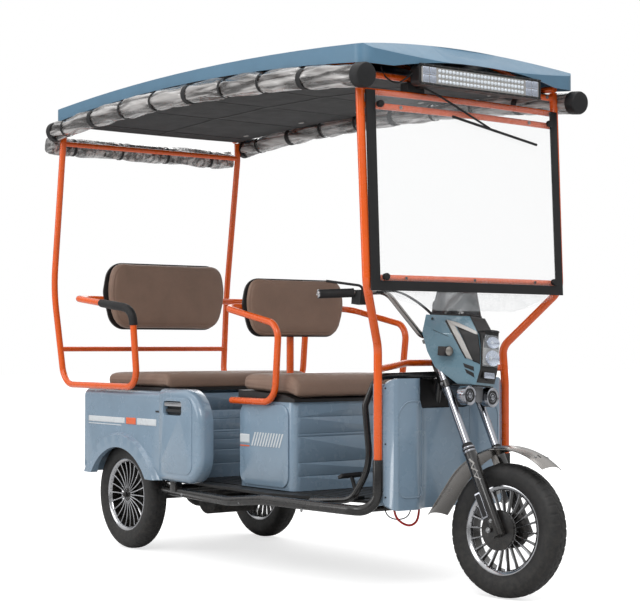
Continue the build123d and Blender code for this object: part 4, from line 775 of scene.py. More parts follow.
@dataclass
class Studio:
    """The camera, the pale floor and the soft lights."""

    spot: Point = (5.457, -4.067, 0.929)
    yaw: float = 143.0
    pitch: float = 1.38
    lens: float = 88.65
    horizon: float = 0.3
    zenith: float = 1.15
    floor_reach: float = 40000.0
    floor_glow: float = 0.66
    aim: Point = (0.0, 0.0, 0.9)
    lamps: tuple[tuple[str, Point, float, float], ...] = (
        ("key", (3.6, -4.2, 4.6), 2.6, 120),
        ("side", (-2.5, -5.5, 2.6), 3.0, 70),
        ("top", (-0.3, 0, 5.2), 3.5, 60),
        ("back", (-4.5, 3.5, 3.5), 3.0, 60),
    )

    def camera(self) -> None:
        """Sets the camera where the photograph was taken from, looking along yaw and pitch."""
        data = bpy.data.cameras.new("camera")
        data.lens, data.sensor_width = self.lens, 36
        made = bpy.data.objects.new("camera", data)
        yaw, pitch = math.radians(self.yaw), math.radians(self.pitch)
        level = math.cos(pitch)
        look = Vector((level * math.cos(yaw), level * math.sin(yaw), math.sin(pitch)))
        made.location = self.spot
        made.rotation_euler = look.to_track_quat("-Z", "Y").to_euler()
        bpy.context.scene.collection.objects.link(made)
        bpy.context.scene.camera = made

    def floor(self) -> None:
        """Lays a wide pale floor, white to the camera and through clear sheets, that keeps the shadow."""
        far = self.floor_reach
        points = np.array([[[-far, -far, 0], [-far, far, 0]], [[far, -far, 0], [far, far, 0]]])
        mesh = mesh_of("floor", grid(points))
        floor = bpy.data.objects.new("floor", mesh)
        bpy.context.scene.collection.objects.link(floor)
        material = bpy.data.materials.new("pale_floor")
        graph = Graph(material)
        rays = graph.add("LightPath")
        seen = graph.sum(rays.outputs["Is Camera Ray"], rays.outputs["Is Transmission Ray"])
        white = graph.add("Emission", Color=(1, 1, 1, 1))
        graph.tree.links.new(graph.spread(seen, (0, 1), (0, self.floor_glow)), white.inputs["Strength"])
        matte = graph.add("BsdfDiffuse", Color=(0.62, 0.62, 0.62, 1))
        both = graph.add("AddShader")
        graph.tree.links.new(matte.outputs[0], both.inputs[0])
        graph.tree.links.new(white.outputs[0], both.inputs[1])
        graph.tree.links.new(both.outputs[0], graph.add("OutputMaterial").inputs[0])
        mesh.materials.append(material)

    def lights(self) -> None:
        """Lights the world, brighter overhead than at the horizon, and adds four large soft lamps."""
        world = bpy.data.worlds.new("studio")
        bpy.context.scene.world = world
        graph = Graph(world)
        rays = graph.add("LightPath")
        rise = graph.add("SeparateXYZ", Vector=graph.add("TexCoord").outputs["Generated"]).outputs[2]
        shine = graph.add(
            "MapRange", interpolation_type="SMOOTHSTEP", Value=rise, From_Min=0.0, From_Max=0.75,
            To_Min=self.horizon, To_Max=self.zenith,
        )
        shade = graph.add("Background", Color=(1, 1, 1, 1), Strength=shine.outputs[0])
        back = graph.add("Background", Color=(1, 1, 1, 1))
        seen = graph.sum(rays.outputs["Is Camera Ray"], rays.outputs["Is Transmission Ray"])
        mix = graph.add("MixShader")
        graph.tree.links.new(graph.spread(seen, (0, 1), (0, 1)), mix.inputs[0])
        graph.tree.links.new(shade.outputs[0], mix.inputs[1])
        graph.tree.links.new(back.outputs[0], mix.inputs[2])
        graph.tree.links.new(mix.outputs[0], graph.add("OutputWorld").inputs[0])
        for name, spot, size, watts in self.lamps:
            data = bpy.data.lights.new(name, "AREA")
            data.size, data.energy = size, watts
            lamp = bpy.data.objects.new(name, data)
            lamp.location = spot
            lamp.rotation_euler = (Vector(self.aim) - Vector(spot)).to_track_quat("-Z", "Y").to_euler()
            bpy.context.scene.collection.objects.link(lamp)


@dataclass
class Lead:
    """A lead that hangs in a loop below the leg shield and goes back up into it."""

    name: str
    node: str
    points: tuple[Point, ...]
    diameter: float
    length: float
    finish: Finish
    slot: str

    def build(self) -> None:
        """Makes the lead as one smooth spline with these control points."""
        data = bpy.data.curves.new(self.name, "CURVE")
        data.dimensions = "3D"
        data.bevel_depth = self.diameter / 2
        data.bevel_resolution = 4
        data.resolution_u = 24
        spline = data.splines.new("NURBS")
        spline.points.add(len(self.points) - 1)
        flat = np.concatenate([np.array(self.points), np.ones((len(self.points), 1))], 1)
        spline.points.foreach_set("co", flat.ravel())
        spline.order_u = 3
        spline.use_endpoint_u = True
        made = bpy.data.objects.new(self.name, data)
        data.materials.append(self.finish.material())
        bpy.context.scene.collection.objects.link(made)
        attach(made, "root")
        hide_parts(self.node)
        LOG.info("%s: a cord of %d points", self.name, len(self.points))


LEADS = (
    Lead(
        "charging_lead", "red_lead",
        (
            (0.843, -0.240, 0.334), (0.843, -0.240, 0.286), (0.843, -0.190, 0.248),
            (0.843, -0.146, 0.242), (0.843, -0.113, 0.270), (0.843, -0.113, 0.334),
        ),
        0.009, 0.25, LEAD_RED, "lead_red",
    ),
    Lead(
        "brake_switch_lead", "black_lead",
        (
            (0.832, -0.277, 0.334), (0.832, -0.277, 0.292), (0.832, -0.214, 0.264),
            (0.832, -0.143, 0.280), (0.832, -0.143, 0.334),
        ),
        0.0046, 0.22, SOFT_BLACK, "soft_black",
    ),
)


@dataclass
class CadShells:
    """The rigid CAD nodes: flat ones keep their mesh, and the others show a welded, softened copy."""

    soft_edge: float = 0.8
    soft_above: float = 40.0
    crease: float = 32.0

    def dress(self) -> None:
        """Gives each node its finish, and each curved node its softened copy."""
        bodies = {
            node: body
            for body, nodes in frame["record"]["behaviour"]["bodies"].items()
            for node in nodes
        }
        for node, made in frame["nodes"].items():
            finish = NODE_FINISHES.get(node, PLASTIC_BLACK)
            for holder in made.material_slots:
                holder.material = finish.material()
            if node in FLAT_NODES or node not in NODE_FINISHES:
                continue
            mesh = made.data.copy()
            mesh.name = node + "_skin"
            skin = finish_piece(
                node + "_skin", mesh, finish, bodies[node], self.crease, False,
            )
            rim = skin.modifiers.new("rim", "BEVEL")
            rim.width = self.soft_edge * MM
            rim.segments = 2
            rim.limit_method = "ANGLE"
            rim.angle_limit = math.radians(self.soft_above)
            rim.use_clamp_overlap = True
            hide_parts(node)


# Wheels

@dataclass
class Wheel:
    """One wheel: a treaded tyre on a rim of thin blades, with a drum on its inner side."""

    name: str
    body: str
    tyre_node: str
    rim_node: str
    centre: Point
    axle: Point
    outer: float
    hub_half: float
    blades: int = 22
    blade_width: float = 6.4
    pitch_count: int = 44
    around: int = 440
    groove_at: float = 10.0
    groove_depth: float = 3.2
    groove_wander: float = 3.2
    groove_width: float = 1.7
    block_depth: float = 3.4
    centre_cut: float = 2.2
    deepest: float = 3.6
    ring_height: float = 0.9

    def axes(self) -> Array:
        """Directions across the wheel's disc, and along the axle to the shown side."""
        z = np.array(self.axle) * self.outer
        z = z / np.linalg.norm(z)
        x = np.cross(z, (0, 0, 1))
        x = x / np.linalg.norm(x)
        return np.stack([x, np.cross(z, x), z])

    def tyre(self) -> Shape:
        """The tyre's surface over the angle round it and the share across it.

        The radius follows a smooth curve through the section's points. Two zigzag grooves run round the
        tread, and cross grooves cut its shoulders into blocks, each a bell curve across its middle line.
        Three thin raised rings run round each sidewall.
        """
        half = [
            (0, 247), (14, 246.6), (27, 242.5), (37, 235.5), (44.5, 224), (47.6, 208), (46.5, 190),
            (41.5, 175), (36.5, 165.5), (33, 158), (31, 152),
        ]
        section = smooth([(-z, r) for z, r in half[:0:-1]] + half, 64)
        z, radius = section[:, 0][None, :], section[:, 1][None, :]
        angle = np.linspace(0, 2 * np.pi, self.around, endpoint=False)[:, None]
        step = 2 * np.pi / self.pitch_count
        phase = (angle / step) % 1
        zigzag = self.groove_wander * (2 * np.abs(phase - 0.5) - 0.5)
        along = self.groove_depth * sum(
            np.exp(-(((z - at - zigzag) / self.groove_width) ** 2))
            for at in (self.groove_at, -self.groove_at)
        )
        shift = np.where(z > 0, 0.25, 0.75)
        gap = np.abs((phase - shift + 0.5) % 1 - 0.5)
        shoulder = 1 / (1 + np.exp(-(np.abs(z) - 13) / 1.2)) / (1 + np.exp((np.abs(z) - 41) / 1.2))
        across = self.block_depth * np.exp(-((gap / 0.07) ** 2)) * shoulder
        middle = self.centre_cut * np.exp(-((np.abs((phase - 0.5)) / 0.05) ** 2)) * np.exp(-((z / 7) ** 4))
        rings = self.ring_height * sum(
            np.exp(-(((radius - r) / 1.6) ** 2))
            for r in (221, 214, 173)
        ) * (np.abs(z) > 38)
        deep = np.clip(along + across + middle, 0, self.deepest)
        r = radius - deep
        z = np.sign(z) * (np.abs(z) + rings) + 0 * angle
        points = np.stack([r * np.cos(angle), r * np.sin(angle), z], -1)
        return grid(points, wrap_u=True, wrap_v=True)

    def blade(self, low: float, high: float) -> Shape:
        """A blade's part between two shares of its height.

        Along the radius from hub to barrel the outer edge dips and rises as a parabola, and the width
        waists by about a fifth in between.
        """
        share = np.linspace(0, 1, 9)[:, None]
        reach = 30 + share * 119
        dip = 4 * share * (1 - share)
        top = 29 - 7 * dip
        bottom = np.full_like(top, 6.0)
        wide = self.blade_width * (1 - 0.22 * dip)
        start, end = bottom + (top - bottom) * low, bottom + (top - bottom) * high
        corner = 0.8
        foot = [(-0.5, start), (0.5, start)]
        head = [(0.5, end - corner), (0.36, end), (-0.36, end), (-0.5, end - corner)]
        points = np.stack([np.concatenate([reach, wide * side, z], 1) for side, z in foot + head], 1)
        return grid(points, wrap_v=True, caps=True)

    def build(self) -> None:
        """Makes the tyre, the lips, barrel, blades, hub, drum and valve."""
        axes, centre = self.axes(), self.centre
        angles = np.arange(self.blades) * 2 * np.pi / self.blades

        def put(part: str, shape: Shape, finish: Finish, crease: float = 35.0) -> Piece:
            """Adds one part of the wheel."""
            return add_piece(
                f"{self.name}_{part}", shape.placed(axes, centre), finish, self.body, crease,
            )

        tyre = put("tyre", self.tyre(), TYRE, 60)
        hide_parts(self.tyre_node)
        lip = [
            (165, 37), (165.6, 34.5), (163, 31.5), (156, 30.5), (152, 27), (149, 23), (149, 21),
            (146.5, 21), (146.5, 23), (149.5, 29), (155, 34), (161, 37.6),
        ]
        lips = lathe(lip, 132, True) + lathe([(r, -z) for r, z in lip], 132, True)
        rim = put("lips", lips, POLISHED)
        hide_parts(self.rim_node)
        barrel = [(149.2, -22), (149.2, 22), (146.6, 22), (145.5, 8), (145.5, -8), (146.6, -22)]
        put("barrel", lathe(barrel, 132, True), FRAME_BLACK)
        put("blades", self.blade(0, 0.9).turned(angles), FRAME_BLACK)
        put("blade_edges", self.blade(0.9, 1.0).turned(angles), POLISHED)
        hub = [
            (0, 33), (13, 33), (15, 31.5), (15.5, 29), (26, 28), (31, 25), (32.5, 20), (32.5, 2),
            (30, -2), (0, -2),
        ]
        put("hub", lathe(hub, 48), FRAME_BLACK)
        collar = [(33.2, 17), (35.4, 16), (35.4, 9), (33.2, 8), (32, 8), (32, 17)]
        put("hub_collar", lathe(collar, 64, True), POLISHED)
        bolts = np.arange(5) * 2 * np.pi / 5
        ring = np.stack([22 * np.cos(bolts), 22 * np.sin(bolts), np.full(5, 27.6)], -1)
        put("hub_bolts", copies(screw(2.6, 3.2), ring), STEEL, 30)
        end = self.hub_half
        cap = [(0, end + 3.6), (8, end + 3.4), (11, end + 1), (11.5, end - 3), (11.5, 32), (0, 32)]
        put("hub_cap", lathe(cap, 32), FRAME_BLACK)
        fin = ((65.5, -10.0), (65.5, -13.5), (61, -14.5), (61, -16.5))
        fins = [(radius, height - 7 * k) for k in range(5) for radius, height in fin]
        drum = [(0, -8), (60, -8)] + fins + [(58, -self.hub_half), (0, -self.hub_half)]
        put("drum", lathe(drum, 72), CAST_IRON)
        valve = lathe(
            [(0, 0), (3.4, 0), (3.4, 6), (2.4, 7), (2.4, 20), (3.2, 21), (3.2, 28), (0, 29)], 12,
        )
        lean = axes_along((-1, 0, 0.35), (0, 1, 0))
        turn = np.array([2 * np.pi * 0.5 / self.blades - 0.9])
        put("valve", valve.placed(lean, (147, 0, 8)).turned(turn), BRASS)


WHEELS = (
    Wheel(
        "front_wheel", "front_wheel", "front_tyre", "front_rim", (1205.42, 7.22, 247.29),
        (-0.159092, 0.983571, -0.085304), -1, 46,
    ),
    Wheel(
        "rear_left_wheel", "rear_left_wheel", "rear_left_tyre", "rear_left_rim", (-884, 370, 247),
        (0, 1, 0), 1, 42,
    ),
    Wheel(
        "rear_right_wheel", "rear_right_wheel", "rear_right_tyre", "rear_right_rim", (-884, -370, 247),
        (0, 1, 0), -1, 42,
    ),
)


# Padding

@dataclass
class Pad:
    """A stuffed seat part: a slab with rolled edges, swollen as a cloth bag, then sewn round."""

    name: str
    node: str
    outline: Array
    axes: Array
    origin: Point
    thickness: float
    edge: float
    cap: float
    voxel: float = 8.0
    seam_inset: float = 20.0
    seam_depth: float = 2.2
    seam_width: float = 2.6
    frames: int = 20

    def build(self) -> None:
        """Makes the slab, swells it by no more than the cap, and presses in the seams."""
        base = slab(
            denser(self.outline, 14), self.thickness, self.edge, self.edge, 5,
        ).placed(self.axes, self.origin)
        mesh = mesh_of(self.name, base)
        pad = finish_piece(self.name, mesh, LEATHER, "root", 180, True)
        remesh = pad.modifiers.new("even", "REMESH")
        remesh.mode = "VOXEL"
        remesh.voxel_size = self.voxel * MM
        apply_modifiers(pad)
        self.swell(pad)
        finer = pad.modifiers.new("finer", "SUBSURF")
        finer.levels = finer.render_levels = 1
        apply_modifiers(pad)
        self.sew(pad)
        pad.data.materials.clear()
        pad.data.materials.append(LEATHER.material())
        pad.data.polygons.foreach_set("use_smooth", np.ones(len(pad.data.polygons), bool))
        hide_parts(self.node)

    def swell(self, pad: Piece) -> None:
        """Blows the pad up as cloth without gravity, and keeps each point within the cap."""
        start = self.read(pad)
        cloth = pad.modifiers.new("bag", "CLOTH")
        settings = cloth.settings
        settings.use_pressure = True
        settings.uniform_pressure_force = 4
        settings.quality = 5
        settings.effector_weights.gravity = 0
        settings.tension_stiffness = settings.compression_stiffness = 25
        settings.bending_stiffness = 2
        cloth.point_cache.frame_start, cloth.point_cache.frame_end = 1, self.frames
        for step in range(1, self.frames + 1):
            bpy.context.scene.frame_set(step)
        apply_modifiers(pad)
        bpy.context.scene.frame_set(1)
        move = self.read(pad) - start
        size = np.linalg.norm(move, axis=1, keepdims=True)
        limit = self.cap * MM
        move = move * np.minimum(1, limit / np.maximum(size, 1e-9))
        pad.data.vertices.foreach_set("co", (start + move).ravel().astype(np.float32))
        pad.data.update()

    def read(self, pad: Piece) -> Array:
        """The mesh's points in metres."""
        points = np.empty(len(pad.data.vertices) * 3, np.float32)
        pad.data.vertices.foreach_get("co", points)
        return points.reshape(-1, 3).astype(float)

    def sew(self, pad: Piece) -> None:
        """Presses a seam round both faces: a bell-shaped groove, an inset away from the outline."""
        points = self.read(pad) / MM
        local = (points - np.array(self.origin)) @ self.axes.T
        outline = denser(self.outline, 6)
        nearest = np.empty(len(local))
        for part in np.array_split(np.arange(len(local)), 24):
            gaps = np.linalg.norm(local[part, None, :2] - outline[None], axis=2)
            nearest[part] = gaps.min(1)
        depth = self.seam_depth * np.exp(-(((nearest - self.seam_inset) / self.seam_width) ** 2))
        middle = self.thickness / 2
        away = np.sign(local[:, 2] - middle)
        near_face = np.clip((np.abs(local[:, 2] - middle) - middle * 0.5) / (middle * 0.3), 0, 1)
        local[:, 2] -= away * depth * near_face
        points = local @ self.axes + np.array(self.origin)
        pad.data.vertices.foreach_set("co", (points * MM).ravel().astype(np.float32))
        pad.data.update()


FORE_UP = np.array([[1, 0, 0], [0, 0, 1], [0, -1, 0]], float)
SIDE_UP = np.array([[0, 1, 0], [0, 0, 1], [1, 0, 0]], float)
PADS = (
    Pad(
        "driver_seat", "driver_cushion",
        rounded(
            [
                (-86, 748), (238, 733), (306, 718), (315, 734), (303, 789), (262, 809), (-66, 807),
                (-88, 790),
            ],
            18,
        ),
        FORE_UP, (0, 306, 0), 612, 20, 6, 7.5,
    ),
    Pad(
        "rear_seat", "rear_cushion",
        rounded(
            [
                (-1088, 747), (-556, 747), (-548, 736), (-543, 740), (-544, 787), (-570, 808),
                (-1070, 801), (-1090, 787),
            ],
            16,
        ),
        FORE_UP, (0, 395, 0), 790, 20, 6, 9,
    ),
    Pad(
        "driver_back", "driver_backrest",
        rounded(
            [(-226, 969), (226, 969), (269, 1105), (245, 1221), (-245, 1221), (-269, 1105)], 78, 10,
        ),
        SIDE_UP, (-130, 0, 0), 25, 11, 5, 7, 16,
    ),
    Pad(
        "rear_back", "rear_backrest",
        rounded(
            [(-294, 1010), (294, 1010), (340, 1185), (312, 1330), (-312, 1330), (-340, 1185)], 92, 10,
        ),
        SIDE_UP, (-1212, 0, 0), 45, 20, 6, 8, 24,
    ),
)


@dataclass
class ArmFoam:
    """The foam sleeves round the front bends of the rear arms, a little uneven along their length."""

    radius: float = 19.2
    path: tuple[Point, ...] = (
        (-694, -480, 1023), (-694, -481.5, 1040), (-697.5, -484, 1062), (-711, -486, 1081),
        (-734, -487.5, 1095), (-768, -489, 1104), (-850, -492.5, 1114), (-960, -497.2, 1127.2),
    )

    def build(self) -> None:
        """Sweeps a circle that swells by a fiftieth as two waves and draws in at both ends."""
        line = smooth(self.path, 70)
        share = np.linspace(0, 1, len(line))
        size = 1 + 0.02 * np.sin(share * 31) * np.sin(share * 17)
        size = size * (1 - 0.12 * (np.exp(-share * 60) + np.exp(-(1 - share) * 60)))
        tube = sweep(line, circle(self.radius, 28), (0, 1, 0), size)
        foam = add_piece("arm_foam", tube + tube.mirrored(), SOFT_BLACK)
        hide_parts("arm_pads")


# Canopy

@dataclass
class Canopy:
    """The roof's soft parts: rolled clear curtains with ties, and the cloth lining with its seams."""

    roll_radius: float = 45.0
    roll_y: float = 548.0
    roll_drop: float = 47.0
    roll_span: tuple[float, float] = (-1328.0, 1052.0)
    tie_step: float = 270.0
    back_x: float = -1385.4
    back_span: tuple[float, float] = (-548.0, 498.0)
    back_tie_step: float = 262.0
    strap_width: float = 13.0
    wide_strap: float = 30.0
    bows: tuple[float, ...] = (-1180, -760, -340, 80, 500, 880.0)
    seed: int = 7

    def eave(self, x: Array) -> Array:
        """Height of the roof's lower edge: 2034, less the squared distance from x -400 over 25000."""
        return 2034 - (x + 400) ** 2 / 25000

    def crumpled(self, line: Array, ties: Array, radius: float, up: Point) -> Shape:
        """A rolled film along a line.

        The radius is the roll's, drawn in at each tie by a bell curve, and broken by creases: ridged
        waves, one less twice the size of a sine, whose phases are seeded and twist along the roll. The
        free edge of the film is one more ridge, a bell curve across the angle.
        """
        rng = np.random.default_rng(self.seed + int(radius) + len(ties))
        along = lengths(line)[:, None]
        angle = np.linspace(0, 2 * np.pi, 56, endpoint=False)[None, :]
        pinch = sum(np.exp(-(((along - spot) / 24) ** 2)) for spot in ties)
        creases = 0 * (along + angle)
        for _ in range(9):
            turns, pace, phase = rng.integers(1, 7), rng.uniform(0.004, 0.03), rng.uniform(0, FULL_TURN)
            wave = np.abs(np.sin(0.5 * (turns * angle + pace * along + phase)))
            creases = creases + rng.uniform(0.7, 1.9) * (1 - 2 * wave)
        creases = creases + 4.5 * np.exp(-(((angle - 1.2 + 0.4 * np.sin(along / 310)) / 0.16) ** 2))
        size = np.clip(radius - 8 * pinch + creases * (1 - 0.85 * pinch), 0.62 * radius, radius + 2.0)
        side, rise = side_and_rise(np.gradient(line, axis=0), up)
        wide, high = (size * np.cos(angle))[..., None], (size * np.sin(angle))[..., None]
        return grid(line[:, None] + wide * side[:, None] + high * rise[:, None], wrap_v=True, caps=True)

    def tie(self, middle: Point, slope: Sequence[float], radius: float, width: float) -> Shape:
        """A strap round the roll: a flat band on a circle, a little wider than the drawn-in film."""
        band = [
            (radius, -width / 2), (radius + 1.6, -width / 2), (radius + 1.6, width / 2),
            (radius, width / 2),
        ]
        return lathe(band, 36, True).placed(axes_along(slope, (0, 0.2, 1)), middle)

    def build(self) -> None:
        """Makes the three rolls with their ties and end caps, and the lining."""
        start, end = self.roll_span
        x = np.linspace(start, end, 420)
        sag = 3.0 * np.abs(np.sin((x - start) / self.tie_step * np.pi))
        ties = np.arange(150, 2300, self.tie_step)
        film, straps = [], []
        for side in BOTH_SIDES:
            line = np.stack(
                [x, np.full_like(x, side * self.roll_y), self.eave(x) - self.roll_drop - sag], -1,
            )
            film.append(self.crumpled(line, ties + side * 12, self.roll_radius, (0, 0, 1)))
            for k, spot in enumerate(ties + side * 12):
                at = int(spot / (end - start) * (len(x) - 1))
                slope = line[at + 1] - line[at - 1]
                width = self.wide_strap if k % 3 == 1 else self.strap_width
                straps.append(self.tie(tuple(line[at]), slope, 39.6, width))
        start, end = self.back_span
        y = np.linspace(start, end, 190)
        sag = 2.5 * np.abs(np.sin((y - start) / self.back_tie_step * np.pi))
        line = np.stack([np.full_like(y, self.back_x), y, 1897 - sag], -1)
        spots = np.arange(130, 1000, self.back_tie_step)
        film.append(self.crumpled(line, spots, 46.0, (0, 0, 1)))
        for spot in spots:
            at = int(spot / (end - start) * (len(y) - 1))
            straps.append(self.tie(tuple(line[at]), (0, 1, 0), 40.6, self.strap_width))
        rolls = add_piece("curtain_film", gathered(film), FILM, crease=180)
        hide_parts("curtain_rolls")
        add_piece("curtain_ties", gathered(straps), SOFT_BLACK)
        add_piece("curtain_end_caps", self.end_caps(), SOFT_BLACK)
        self.lining()

    def end_caps(self) -> Shape:
        """The caps on the side rolls' ends; the rear ones are a fifth shallower."""
        knob = [(0, 0), (44, 0), (46.2, 3), (46.4, 40), (43, 47), (30, 51), (0, 52)]
        caps = []
        for x, lean, depth in ((1018.0, (1, 0, -0.11), 1.0), (-1296.0, (-1, 0, -0.075), 0.8)):
            cap = lathe([(r, h * depth) for r, h in knob], 40)
            cap = cap.placed(axes_along(lean, (0, 0, 1)), (0, 0, 0))
            height = float(self.eave(np.array(x))) - self.roll_drop
            caps += [cap.moved(x, side * self.roll_y, height) for side in BOTH_SIDES]
        return gathered(caps)

    def lining_height(self, x: Array, y: Array) -> Array:
        """Height of the lining: the rail's arc less 14.3, sunk by up to 3 between the bows."""
        arc = 2018 - 16435 + np.sqrt(16435.0**2 - (x + 400) ** 2)
        nearest = np.abs(x[..., None] - np.array(self.bows)).min(-1)
        return arc - 14.3 - 3.0 * (1 - np.exp(-((nearest / 60) ** 2))) * (1 - (y / 488) ** 2)

    def lining(self) -> None:
        """Makes the lining as one sheet, seam ribbons under the bows and the middle, and pale clips."""
        xs, ys = np.meshgrid(np.linspace(-1286, 928, 150), np.linspace(-487, 487, 60), indexing="ij")
        sheet = grid(np.stack([xs, ys, self.lining_height(xs, ys)], -1))
        cloth = add_piece("roof_cloth", sheet, LINING, crease=180, closed=False)
        thickened(cloth, 1.2, 0.0)
        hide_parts("roof_lining")
        seams = []
        for bow in self.bows[:-1]:
            y = np.linspace(-484, 484, 50)
            path = np.stack(
                [np.full_like(y, bow), y, self.lining_height(np.full_like(y, bow), y) - 1.6], -1,
            )
            seams.append(sweep(path, ribbon(6, 0.6)))
        x = np.linspace(-1270, 915, 90)
        path = np.stack([x, 0 * x, self.lining_height(x, 0 * x) - 2.0], -1)
        seams.append(sweep(path, ribbon(7, 0.6)))
        add_piece("lining_seams", gathered(seams), SOFT_BLACK)
        spots = []
        for x in (-1090.0, -620.0, -180.0, 260.0, 700.0):
            height = float(self.lining_height(np.array(x), np.array(400.0))) - 4
            spots += [(x, side * 400, height) for side in BOTH_SIDES]
        clip = slab(oblong(16, 6, 4), 4, 1.5)
        add_piece(
            "lining_clips", copies(clip.placed(axes_along((0, 0, -1), (0, 1, 0)), (0, 0, 4)), spots),
            SILVER,
        )


# Front unit

@dataclass
class Steering:
    """The frame of the fork along its steering axis, straight ahead, and its turn to where it rests."""

    foot: Point = (1170.748, 0, 228.702)
    up: Point = (-0.47255, 0, 0.88130)
    ahead: Point = (0.88130, 0, 0.47255)
    turn: float = 10.4

    def at(self, ahead: float, beside: float, up: float) -> Array:
        """A point given by its distances ahead of, beside and up the axis."""
        forward, rise = ahead * np.array(self.ahead), up * np.array(self.up)
        return np.array(self.foot) + forward + np.array((0, beside, 0)) + rise

    def frame(self) -> Array:
        """Three square directions: x across, y ahead and z up the axis."""
        z, y = np.array(self.up), np.array(self.ahead)
        return np.stack([np.cross(y, z), y, z])

    def turned(self, shape: Shape) -> Shape:
        """The shape swung about the steering axis by the turn, as the rule of Rodrigues gives."""
        angle, axis, foot = math.radians(self.turn), np.array(self.up), np.array(self.foot)
        p = shape.points - foot
        c, s = math.cos(angle), math.sin(angle)
        swung = p * c + np.cross(axis, p) * s + np.outer(p @ axis, axis) * (1 - c)
        return Shape(swung + foot, shape.quads, shape.tris)

    def put(
        self, name: str, shape: Shape, finish: Finish, slot: str, closed: bool = True,
        crease: float = 35.0,
    ) -> Piece:
        """Adds a piece drawn straight ahead, turned with the fork."""
        return add_piece(name, self.turned(shape), finish, "steering", crease, closed)


@dataclass
class ForkDress:
    """Rings, seals, reflectors and screws on the fork, and slots on its mudguard."""

    steering: Steering
    leg: float = 88.0
    lead: float = 57.0

    def build(self) -> None:
        """Makes the leg pieces on both sides and the mudguard's screws."""
        s = self.steering
        axes = s.frame()
        bright, dark, zigzag, frames, mirrors, bolts = [], [], [], [], [], []
        for side in BOTH_SIDES:
            foot = s.at(self.lead, side * self.leg, 0)
            tube = [(14.1, 300), (15.3, 300), (15.3, 760), (14.1, 760)]
            bright.append(lathe(tube, 40, True).placed(axes, foot))
            for t in (308, 322):
                ring = [
                    (18, t - 4), (23.5, t - 4), (24.6, t - 2), (24.6, t + 2), (23.5, t + 4),
                    (18, t + 4),
                ]
                bright.append(lathe(ring, 40, True).placed(axes, foot))
            dust_seal = [(14.5, 326), (21, 326), (21.5, 331), (20, 338), (16, 342), (14.5, 342)]
            collar = [(14.5, 306), (22.5, 306), (22.5, 318), (14.5, 318)]
            dark += [lathe(ring, 40, True).placed(axes, foot) for ring in (dust_seal, collar)]
            at = s.at(self.lead - 14, side * (self.leg + 20), 96)
            out = np.stack([np.cross(np.array(s.up), (0, side, 0)), np.array(s.up), (0, side, 0)])
            frames.append(slab(oblong(13, 50, 4), 7, 1.2).placed(out, at))
            mirror = slab(oblong(9.4, 44, 2), 2, 0.8)
            mirrors.append(mirror.placed(out, at + np.array((0, side * 6.4, 0))))
            path = []
            for h, t in ((17, 188), (2, 208), (16, 222), (1, 242), (14, 254), (4, 276)):
                path.append(s.at(self.lead + h, side * (self.leg + math.sqrt(23.6**2 - h**2)), t))
            zigzag.append(sweep(np.array(path), ribbon(3, 1.6), (0, 1, 0)))
            outward = axes_along((0, side, 0))
            bolts.append(screw(5, 5).placed(outward, s.at(self.lead, side * (self.leg + 21.8), 30)))
            bolts.append(screw(7, 6).placed(outward, s.at(40, side * 120, 0)))
            spot = s.at(self.lead + 2, side * (self.leg + 26), 590)
            bolts.append(screw(4.5, 4).placed(outward, spot))
        s.put("fork_bright_tubes", gathered(bright), CHROME, "fork_chrome")
        s.put("fork_seals", gathered(dark), SOFT_BLACK, "soft_black")
        s.put("fork_stripes", gathered(zigzag), SILVER, "polished_rim")
        s.put("fork_reflector_frames", gathered(frames), CHROME, "fork_chrome")
        s.put("fork_reflectors", gathered(mirrors), SOFT_BLACK, "soft_black")
        s.put("fork_bolts", gathered(bolts), STEEL, "stainless")
        self.mudguard()

    def arc(self, y: float) -> float:
        """The mudguard's outer radius: 313, less 16 times the squared share of its half width."""
        return 313 - 16 * (y / 60) ** 2

    def mudguard(self) -> None:
        """Puts short dark slots and screws on the mudguard's arc about the wheel."""
        s = self.steering
        centre = s.at(40, 0, 0)
        slots, heads = [], []
        pill = slab(oblong(9, 3, 2.8), 1.2, 0.4)
        for degrees, y in ((64, -18), (64, 18), (100, -18), (100, 18)):
            a = math.radians(degrees)
            out = np.array((math.cos(a), 0, math.sin(a)))
            axes = axes_along(out, (0, 1, 0))
            slots.append(pill.placed(axes, centre + out * self.arc(y) + np.array((0, y, 0))))
            spot = centre + out * self.arc(2 * y) + np.array((0, 2 * y, 0))
            heads.append(screw(4, 3).placed(axes, spot))
        s.put("mudguard_slots", gathered(slots), PLASTIC_BLACK, "black_plastic")
        s.put("mudguard_screws", gathered(heads), STEEL, "stainless")


@dataclass(frozen=True)
class FairingPanel:
    """A thin panel on the fairing's sides, between two edges given straight ahead on the right side."""

    name: str
    finish: Finish
    slot: str
    lift: float
    thickness: float
    first: tuple[Point, ...]
    second: tuple[Point, ...]

    def lay(self, steering: Steering) -> None:
        """Lays the straight-line surface between the edges on the fairing, and its mirror image."""
        shape = ruled(self.first, self.second, 16, 8).moved(4, -11, 0)
        for side, word in ((shape, "right"), (shape.mirrored(), "left")):
            made = steering.put(f"{self.name}_{word}", side, self.finish, self.slot, False)
            wrapped(made, "fairing", self.lift, self.thickness)


